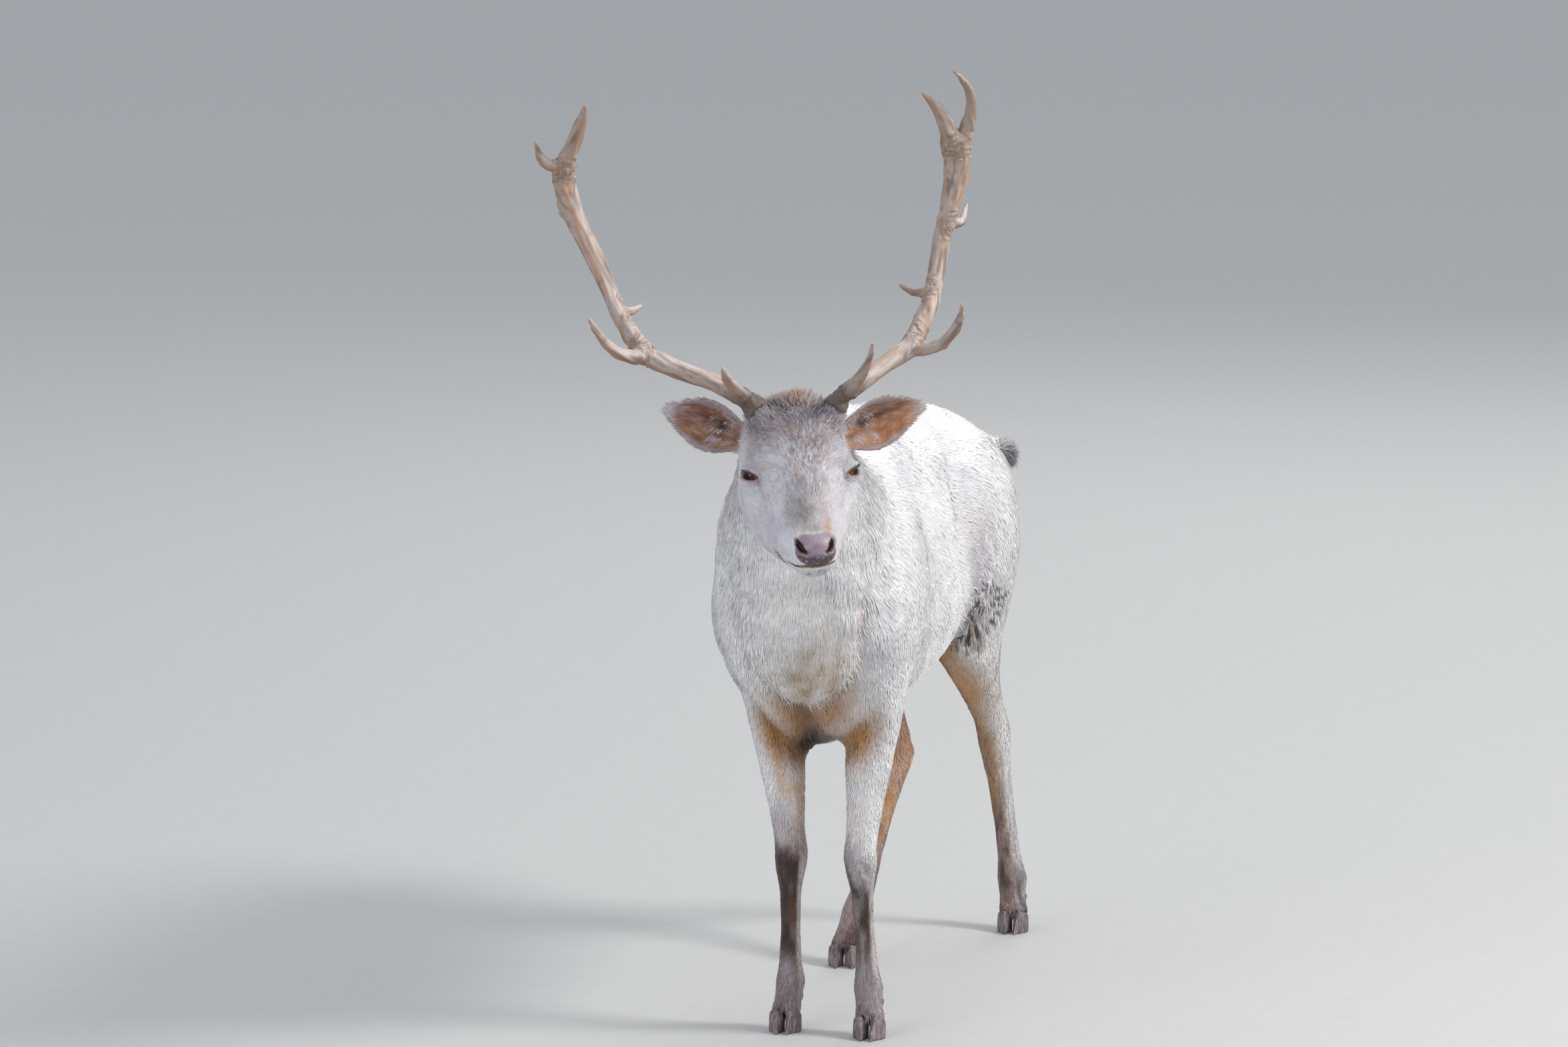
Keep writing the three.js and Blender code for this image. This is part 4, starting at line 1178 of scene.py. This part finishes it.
def tufts(name, weight, count, sector, longer=1.0, wider=1.0, lift=1.0, clump=0.16, wild=0.12, hug=1.0,
          way=None, colour=None, free=0.0):
    """A coat piece of tapered tufts, each lying along the coat from its root.

    hug draws the tips down to their height over the skin; free lets hair stand along its own way.
    """
    roots = scatter(weight, count)
    at = blended(points, roots)
    out = unit(blended(normals, roots))
    along = blended(lie if way is None else way, roots)
    along += noise_way(at, 0.045, 31) * 0.16 + noise_way(at, 0.014, 41) * clump
    along += rng.normal(0, wild, (count, 3))
    along = unit(along)
    up = (along * out).sum(1)[:, None]
    along = along - out * up
    side = np.cross(out, unit(along))
    along = unit(along + out * np.maximum(up, 0) * free)
    long = (blended(length, roots) * longer * (0.75 + 0.5 * rng.random(count)) * MM)[:, None]
    half = (blended(width, roots) * wider * (0.35 + 0.3 * rng.random(count)) * MM)[:, None]
    breaks = ease(noise(at, 0.022, 51), 0.35, 0.75)
    stand = (blended(depth, roots) * lift * (0.4 + 0.3 * breaks + 0.3 * rng.random(count)) * MM)[:, None]
    root = at - out * ROOT_DEPTH
    tip = at + along * long + out * stand
    under, over, corner = skin_under(tip)
    tip += (under + over * stand - tip) * hug
    bend = np.maximum((over * along).sum(1)[:, None], 0) * long * 0.12 * hug
    belly = root * (1 - MIDDLE_AT) + tip * MIDDLE_AT + out * (bend + stand * 0.25)
    verts = np.stack([root, belly - side * half, belly + side * half, tip], axis=1)
    verts[:, :, 2] = np.maximum(verts[:, :, 2], 0.0)
    facing = unit(np.stack([out, out - side * 0.45, out + side * 0.45, over + along * 0.3], axis=1))
    facing = facing[:, TUFT_FACES.ravel()]
    facing[:, :6] = -out[:, None]
    if colour is None:
        own = np.repeat(blended(root_colour, roots)[:, None], 4, axis=1)
        own += (root_colour[corner].mean(1)[:, None] - own) * FROM_TIP[:, None]
        shown = np.repeat(belly * 0.4 + tip * 0.6, 4, axis=0)
        own = fine_marks(shown, own.reshape(-1, 3)).reshape(-1, 4, 3)
    else:
        own = np.tile(srgb(colour), (count, 4, 1))
    own *= 1 - (blended(salt, roots) * rng.random(count) ** 1.5)[:, None, None]
    own *= TUFT_LIGHT[:, None]
    tuft_piece(name, verts, np.clip(own, 0, 0.95), unwrap(roots, sector), facing)


def tuft_piece(name, verts, colours, patch, facing):
    count = len(verts)
    loops = (TUFT_FACES[None] + (np.arange(count) * 4)[:, None, None]).reshape(-1)
    made = bpy.data.meshes.new(name)
    made.vertices.add(count * 4)
    made.vertices.foreach_set("co", verts.astype(np.float32).ravel())
    made.loops.add(len(loops))
    made.loops.foreach_set("vertex_index", loops.astype(np.int32))
    made.polygons.add(len(loops) // 3)
    made.polygons.foreach_set("loop_start", np.arange(0, len(loops), 3, dtype=np.int32))
    made.update(calc_edges=True)
    set_attribute(made, "marking", colours.reshape(-1, 3))
    at_root = (patch[:, None, :] + TUFT_PATCH[None]).reshape(-1, 2)
    layer = made.uv_layers.new(name="OFBake")
    layer.data.foreach_set("uv", at_root[loops].astype(np.float32).ravel())
    set_vector(made, "grain", (TUFT_GRAIN + rng.random((count, 1, 3)) * 900).reshape(-1, 3))
    as_piece(linked(name, made), COAT, "coat")
    made.normals_split_custom_set(facing.reshape(-1, 3))


def round_axis(x, y, z):
    """How far round a lengthwise axis each point of the skin lies, and how far along it."""
    return np.stack([np.arctan2(x, z) / (2 * np.pi), y], axis=1)


root_colour = marked()
haired = 1 - ease(bare, 0.15, 0.5)
across = points[:, 0] - spine(points[:, 1])
left = across > 0
is_trunk, is_neck, is_tail = (kinds == k for k in ("trunk", "neck", "tail"))
is_upper = kinds == "upper"
is_low = np.isin(kinds, ["lower", "pastern"])
hind = points[:, 1] > 0.0
barrel = round_axis(across, points[:, 1], points[:, 2] - 0.60)
round_head = round_axis(h[:, 0], h[:, 1], h[:, 2] + 15)
to_left = (h[:, 0] > 0)[:, None]
fine_face = 1 + 1.6 * ease(h[:, 1], -60, -120) + 0.6 * mound(h, (0, 0, 20), (60, 40, 60))


def leg_sector():
    """Each leg has its own strip of the unwrap."""
    sector = np.zeros((len(points), 2))
    for k, leg in enumerate(LEGS):
        knee, fetlock = KNEE[leg], FETLOCK[leg]
        mine = (left == leg.endswith("left")) & (hind == leg.startswith("hind"))
        up = end_of(f"leg_{leg}_upper", top=True)
        z = points[:, 2]
        x = np.interp(z, [0, fetlock[2], knee[2], up[2]], [fetlock[0], fetlock[0], knee[0], up[0]])
        y = np.interp(z, [0, fetlock[2], knee[2], 0.5, up[2]],
                      [fetlock[1], fetlock[1], knee[1], (knee[1] + up[1]) / 2, up[1]])
        angle = np.arctan2(points[:, 0] - x, points[:, 1] - y) / (2 * np.pi) + 0.5
        sector[mine] = np.stack([k + angle * 0.96, z], axis=1)[mine]
    return sector


legs = leg_sector()
ear_sector = np.stack([ear_v * 0.2 + (h[:, 0] > 0) * 1.2 + (1 - ear_inside) * 0.55, ear_t], axis=1)
tail_sector = round_axis(points[:, 0] - 0.08, points[:, 1], points[:, 2] - 0.69)

salt = 0.13 + on_head * (0.1 + 0.4 * patches(h, FOREHEAD)) + 0.22 * is_low + 0.3 * on_ear
salt += 0.3 * on_head * patches(h, BRIDGE)
salt = np.clip(salt, 0, 0.75)

for name, low, high in [("chest", -1, -0.04), ("barrel", -0.04, 0.24), ("rump", 0.24, 1)]:
    share = is_trunk * (points[:, 1] >= low) * (points[:, 1] < high)
    tufts(f"coat_{name}", share, 38000, barrel, clump=0.1)
tufts("coat_neck", is_neck, 35000, barrel, clump=0.18, wild=0.13)
for name, low, high in [("muzzle", -400, -22), ("forehead", -22, 400)]:
    share = (kinds == "head") * haired * fine_face * (h[:, 1] >= low) * (h[:, 1] < high)
    tufts(f"coat_{name}", share, 37000, round_head, clump=0.2, wild=0.15)
tufts("coat_shoulders", is_upper * ~hind, 26000, legs)
tufts("coat_thighs", is_upper * hind, 37000, legs)
tufts("coat_shanks", is_low, 41000, legs, clump=0.1, wild=0.1)
tail_end = ease(from_line(points, TAIL)[1], 0.5, 0.85) * is_tail
tail_way = lie + np.array([0.4, 1.6, -1.0]) * tail_end[:, None]
tufts("coat_tail", is_tail, 5000, tail_sector, clump=0.2, wild=0.1, hug=0.4, way=tail_way, free=0.9)
tufts("coat_ears", (kinds == "ear") * (1 - 0.3 * ear_inside), 20000, ear_sector, clump=0.1)

# Longer hair where it breaks the form: on the poll, round and inside the ears, and in wisps on the back.
poll = mound(h, (0, 86, 62), (34, 15, 26)) * (kinds == "head")
poll_way = np.tile(head_way((0, 0.75, 0.65)), (len(points), 1)) + lie * 0.3
tufts("coat_poll", poll, 2000, round_head, longer=2.0, wider=1.3, clump=0.55, wild=0.28, hug=0.0,
      way=poll_way, free=0.6)
foot = sum(mound(h, (54 * side, 66, 60), (24, 22, 22)) for side in SIDES.values()) * (kinds == "head")
foot_way = np.where(to_left, head_way(unit([11, 8, 9])), head_way(unit([-11, 8, 9])))
tufts("coat_antler_feet", foot, 2000, round_head, longer=1.5, wider=1.1, lift=0.9, clump=0.4, wild=0.2,
      hug=0.0, way=foot_way, free=0.7)
rim = (kinds == "ear") * (ease(np.abs(ear_v), 0.72, 0.95) + ease(ear_t, 0.8, 0.95))
rim_way = ear_along + ear_up * (0.45 * np.sign(ear_v) * ease(np.abs(ear_v), 0.4, 0.8))[:, None]
tufts("coat_ear_rims", rim, 4400, ear_sector, longer=1.1, way=rim_way, hug=0.1, free=0.7)
near_root = ease(ear_t, 0.06, 0.14) * ease(ear_t, 0.46, 0.34)
near_root *= ease(ear_v, -0.7, -0.4) * ease(ear_v, 0.9, 0.7) * ease(noise(h, 7.0, 26), 0.4, 0.6)
tufts("coat_ear_locks", ear_inside * near_root, 700, ear_sector, longer=2.2, lift=1.6, hug=0.5,
      way=unit(ear_along * 0.5 - ear_up * 0.85), colour="c8bdc2")
coronet = (kinds == "pastern") * ease(points[:, 2], 0.064, 0.052)
tufts("coat_coronets", coronet, 1800, legs, longer=1.1, wider=1.3, lift=0.7, clump=0.2, wild=0.14, hug=0.0,
      way=lie + np.array([0, -0.3, -1]), free=0.4)
wispy = (is_neck | is_trunk) * (0.15 + ease(normals[:, 2], 0.2, 0.8) + line_of(points, RUFF_EDGE, 0.03) * 3)
tufts("coat_wisps", wispy, 5000, barrel, longer=1.4, wider=0.8, lift=1.4, wild=0.17, hug=0.8)
fringe = is_tail * ease(-normals[:, 2], -0.3, 0.5)
fringe_way = np.tile(unit([0.25, 0.6, -0.75]), (len(points), 1))
tufts("coat_tail_fringe", fringe, 2400, tail_sector, longer=1.1, lift=0.8, wild=0.15, hug=0.15,
      way=fringe_way, free=0.9)
lash_way = np.where(to_left, eye_way["left"], eye_way["right"])
tufts("coat_lashes", lash_line(), 110, round_head, longer=0.65, wider=0.4, lift=1.8, hug=0.0, way=lash_way,
      colour="8f8078")

# ---- Eyes ----


def eye_material(side, warm):
    """A brown iris round a level pupil, under a clear wet front."""
    paint = Paint(f"eye_{side}_wet")
    arm = paint.placed(tuple(-middle(f"eye_{side}")))

    def vector_maths(operation, sockets, output="Vector"):
        return paint.node("ShaderNodeVectorMath", {"operation": operation}, sockets, output)

    a, b, out = (
        vector_maths("DOT_PRODUCT", {0: arm, 1: tuple(head_way(axis))}, "Value") / (EYE_RADIUS * MM)
        for axis in eye_axes(SIDES[side])
    )
    round_out = (a * a + b * b) ** 0.5
    pupil = (((a / 0.40) ** 2 + (b / 0.22) ** 2) ** 0.5).between(1.12, 0.86)
    fibres = paint.lumps(9.0, 4.0, 0.6, vector_maths("NORMALIZE", {0: arm}))
    rim = round_out.between(0.62, 0.78)
    lit = b.between(0.35, -0.35)
    iris = paint.mix("2a120a", warm, fibres.between(0.3, 0.75) * (0.35 + lit * 0.65))
    iris = paint.mix(iris, "120906", rim)
    iris = paint.mix(iris, (0.003, 0.003, 0.004), pupil)
    white = paint.mix(iris, "5b4038", round_out.between(0.82, 0.92))
    paint.set(Base_Color=white, Roughness=0.12, Normal=paint.bump(out, 0.1 * MM, 0.05))
    paint.set(Specular_IOR_Level=0.1, Coat_Weight=0.4, Coat_Roughness=0.02, Coat_IOR=1.4)
    return paint.material


CORNEA = 1.1 * MM  # how far the clear front stands out from the ball


def make_eye(side, warm):
    along, _, way = (Vector(head_way(v)) for v in eye_axes(SIDES[side]))
    bm = bmesh.new()
    bmesh.ops.create_uvsphere(bm, u_segments=64, v_segments=40, radius=EYE_RADIUS * MM)
    for vertex in bm.verts:
        vertex.co.z += CORNEA * ease(vertex.co.z / (EYE_RADIUS * MM), 0.72, 1.0)
    turned = Matrix((along, way.cross(along), way)).transposed().to_4x4()
    bmesh.ops.transform(bm, matrix=Matrix.Translation(middle(f"eye_{side}")) @ turned, verts=bm.verts)
    as_piece(built(f"eyeball_{side}", bm), eye_material(side, warm), "eye", f"eye_{side}")


make_eye("right", "6b3312")
make_eye("left", "b5701f")

# ---- Antlers ----


def antler_material():
    paint = Paint("antler_bone")
    grain = paint.stored("grain", "Vector")
    streaks = paint.lumps(160.0, 5.0, 0.6, grain)
    mottle = paint.lumps(55.0, 5.0, 0.65)
    pits = paint.lumps(300.0, 2.0, 0.5, grain)
    colour = paint.stored("marking", "Color")
    colour = paint.mix(colour, "6d5646", mottle.between(0.52, 0.72) * 0.45)
    colour = paint.mix(colour, (0.55, 0.50, 0.46), streaks.between(0.45, 0.7) * 0.5, "MULTIPLY")
    colour = paint.mix(colour, "38281f", pits.between(0.66, 0.74) * mottle.between(0.45, 0.6) * 0.7)
    height = streaks * 0.7 + pits * 0.3
    paint.set(Base_Color=colour, Roughness=0.5 + mottle * 0.25, Normal=paint.bump(height, 1.3 * MM, 0.8))
    return paint.material


ANTLER = antler_material()
ANTLER_VOXEL = 1.7 * MM
ANTLER_FOOT = np.array([54, 66, 65])  # the left one, in the head's frame
BEAM_WAY = unit(np.array([11, 10, 7.5]))  # up the left beam from its foot
FOOT_REACH = 15  # mm from the beam's middle line to the bone's surface at its foot


def long_way(points):
    """The direction in which a solid is longest."""
    return np.linalg.svd(points - points.mean(0), full_matrices=False)[2][0]


def make_antler(side):
    nodes = [n for n in sorted(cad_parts) if n.startswith(f"antler_{side}_")]
    shape = shape_of(f"antler_{side}", nodes, 0.5 * MM)
    remesh(shape, ANTLER_VOXEL)
    soften(shape, 14)
    mesh = shape.data
    fillet(mesh, 140)
    p, n = places(mesh), normals_of(mesh)
    clouds = [corners(node) for node in nodes]
    gaps = [np.linalg.norm(p[:, None] - cloud[None, ::2], axis=2).min(1) for cloud in clouds]
    way = np.array([long_way(cloud) for cloud in clouds])[np.argmin(gaps, axis=0)]
    way = way * np.sign(way[:, 2:3])
    way = unit(spread(way, edges_of(mesh), 30))
    foot = middle(f"antler_{side}_beam_lower")
    grain = (p - foot) - way * ((p - foot) * way).sum(1)[:, None] * 0.86
    mirror = [SIDES[side], 1, 1]
    arm = to_head(p) - ANTLER_FOOT * mirror
    burr = np.linalg.norm(arm, axis=1)
    up_beam = arm @ (BEAM_WAY * mirror)
    beside = arm - up_beam[:, None] * (BEAM_WAY * mirror)
    reach = np.linalg.norm(beside, axis=1)
    slim = np.minimum(FOOT_REACH + (reach - FOOT_REACH) * 0.2, reach) / np.maximum(reach, 1) - 1
    slim *= ease(np.abs(up_beam), 14, 9) * (reach < 30) * (reach > FOOT_REACH)
    p = from_head(to_head(p) + slim[:, None] * beside)
    knobs = (noise(p, 0.0065, 61) - 0.3) * ease(burr, 38, 24)
    ridges = noise(grain, 0.0046, 62) - 0.5
    away = ease(burr, 18, 60)
    p += n * ((knobs * 4.0 - 1.5 * ease(burr, 30, 18) + ridges * 3.0 * away) * MM)[:, None]
    move(mesh, p)
    n = normals_of(mesh)
    under = ease(-n[:, 2] + (noise(p, 0.03, 63) - 0.5) * 0.8, 0.15, 0.8)
    set_attribute(mesh, "marking", tint(
        plain("a5968d", len(p)),
        # painted highlight: lighter on top and on the side toward the key light
        ("cdbfb8", ease(n[:, 2] + n[:, 0] * 0.6, 0.1, 1.0) * 0.8),
        # painted shade: orange-brown on the undersides
        ("8f6442", under * 0.6),
        ("ae8260", ease(noise(grain, 0.011, 64), 0.52, 0.75) * 0.5),
        ("6a5348", ease(noise(grain, 0.006, 65), 0.62, 0.8) * 0.6),
        ("51463f", ease(burr, 62, 18) * 0.85),
        ("8d7767", ease(p[:, 2], 1.18, 1.30) * 0.5),
    ))
    set_vector(mesh, "grain", grain)
    as_piece(shape, ANTLER, "antler", *nodes)


for side in SIDES:
    make_antler(side)

# ---- Hooves and dewclaws ----


def hoof_material():
    paint = Paint("hoof_horn")
    rings = paint.node("ShaderNodeTexWave", {"bands_direction": "Z"}, {
        "Vector": paint.where(), "Scale": 55.0, "Distortion": 3.0, "Detail": 2.0, "Detail Scale": 20.0})
    streaks = paint.lumps(260.0, 4.0, 0.6, paint.placed(scale=(1, 1, 0.22)))
    dirt = paint.lumps(70.0, 5.0)
    colour = paint.mix("5d5352", "93868a", streaks.between(0.35, 0.7))
    colour = paint.mix(colour, "4a3d38", dirt.between(0.52, 0.72) * 0.7)
    height = rings * 0.15 + streaks * 0.5 + dirt * 0.35
    paint.set(Base_Color=colour, Roughness=0.55 + dirt * 0.3, Normal=paint.bump(height, 0.8 * MM, 0.7))
    return paint.material


HOOF = hoof_material()
HORN_VOXEL = 1.4 * MM
FLAT_SOLE = 1.6 * MM


def make_horn(node):
    shape = shape_of(f"{node}_horn", [node], 0.3 * MM)
    remesh(shape, HORN_VOXEL)
    soften(shape, 26)
    p = places(shape.data)
    if node.startswith("hoof"):
        low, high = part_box(node)
        p = np.array(low) + (p - p.min(0)) / np.ptp(p, axis=0) * np.array(high - low)
        toe = ease(p[:, 1], low.y + 0.030, low.y)
        inner = low.x if middle(node)[0] > FETLOCK[node[5:].rsplit("_", 1)[0]][0] else high.x
        p[:, 0] = inner + (p[:, 0] - inner) * (1 - 0.45 * toe)
        slope = p[:, 2] * (1 - 0.25 * ease(p[:, 1], low.y + 0.02, low.y))
        p[:, 2] = np.where(p[:, 2] < FLAT_SOLE, 0.0, slope)
    move(shape.data, p)
    as_piece(shape, HOOF, "hoof_horn", node)


for node in [n for n in sorted(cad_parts) if n.startswith(("hoof_", "dewclaw_"))]:
    make_horn(node)

# ---- Floor, light and camera ----


FLOOR_REACH = 40
LIT = (0.0, -0.1, 0.7)  # where the lamps point
CAMERA_AZIMUTH, CAMERA_ELEVATION = 11.5, 8.5  # degrees
CAMERA_AWAY = 14.0
AIM = Vector((-0.00445, -0.2244, 0.69))
SENSOR, LENS = 36.0, 240.31  # mm


def floor_material():
    paint = Paint("pale_floor")
    grain = paint.lumps(30.0, 3.0)
    paint.set(Base_Color=paint.mix((0.50, 0.50, 0.49), (0.54, 0.54, 0.53), grain), Roughness=0.85)
    return paint.material


def make_floor():
    bm = bmesh.new()
    bmesh.ops.create_grid(bm, x_segments=1, y_segments=1, size=FLOOR_REACH)
    floor = built("floor", bm)
    floor.data.materials.append(floor_material())


def point_at(thing, at, aim):
    thing.location = at
    thing.rotation_euler = (Vector(aim) - Vector(at)).to_track_quat("-Z", "Y").to_euler()


def area_light(name, at, size, power, colour):
    light = bpy.data.lights.new(name, "AREA")
    light.shape = "DISK"
    light.size, light.energy, light.color = size, power, colour
    point_at(linked(name, light), at, LIT)


def make_light():
    world = bpy.data.worlds.new("studio")
    world.use_nodes = True
    background = world.node_tree.nodes["Background"]
    background.inputs["Color"].default_value = (0.86, 0.90, 0.97, 1)
    background.inputs["Strength"].default_value = 0.72
    bpy.context.scene.world = world
    area_light("key", (5.0, -0.4, 4.2), 1.8, 285, (1.0, 0.97, 0.92))
    area_light("front", (-2.6, -5.5, 2.6), 4.0, 112, (0.94, 0.94, 1.0))
    area_light("back", (0.5, 5.5, 3.8), 3.0, 80, (1.0, 0.98, 0.95))
    bpy.context.scene.view_settings.view_transform = "Standard"


def make_camera():
    back = Vector(turn(CAMERA_AZIMUTH, "Z") @ turn(-CAMERA_ELEVATION, "X") @ [0, -1, 0])
    data = bpy.data.cameras.new("view")
    data.sensor_width, data.lens = SENSOR, LENS
    data.clip_end = 100
    camera = linked("view", data)
    point_at(camera, AIM + back * CAMERA_AWAY, AIM)
    bpy.context.scene.camera = camera


make_floor()
make_light()
make_camera()
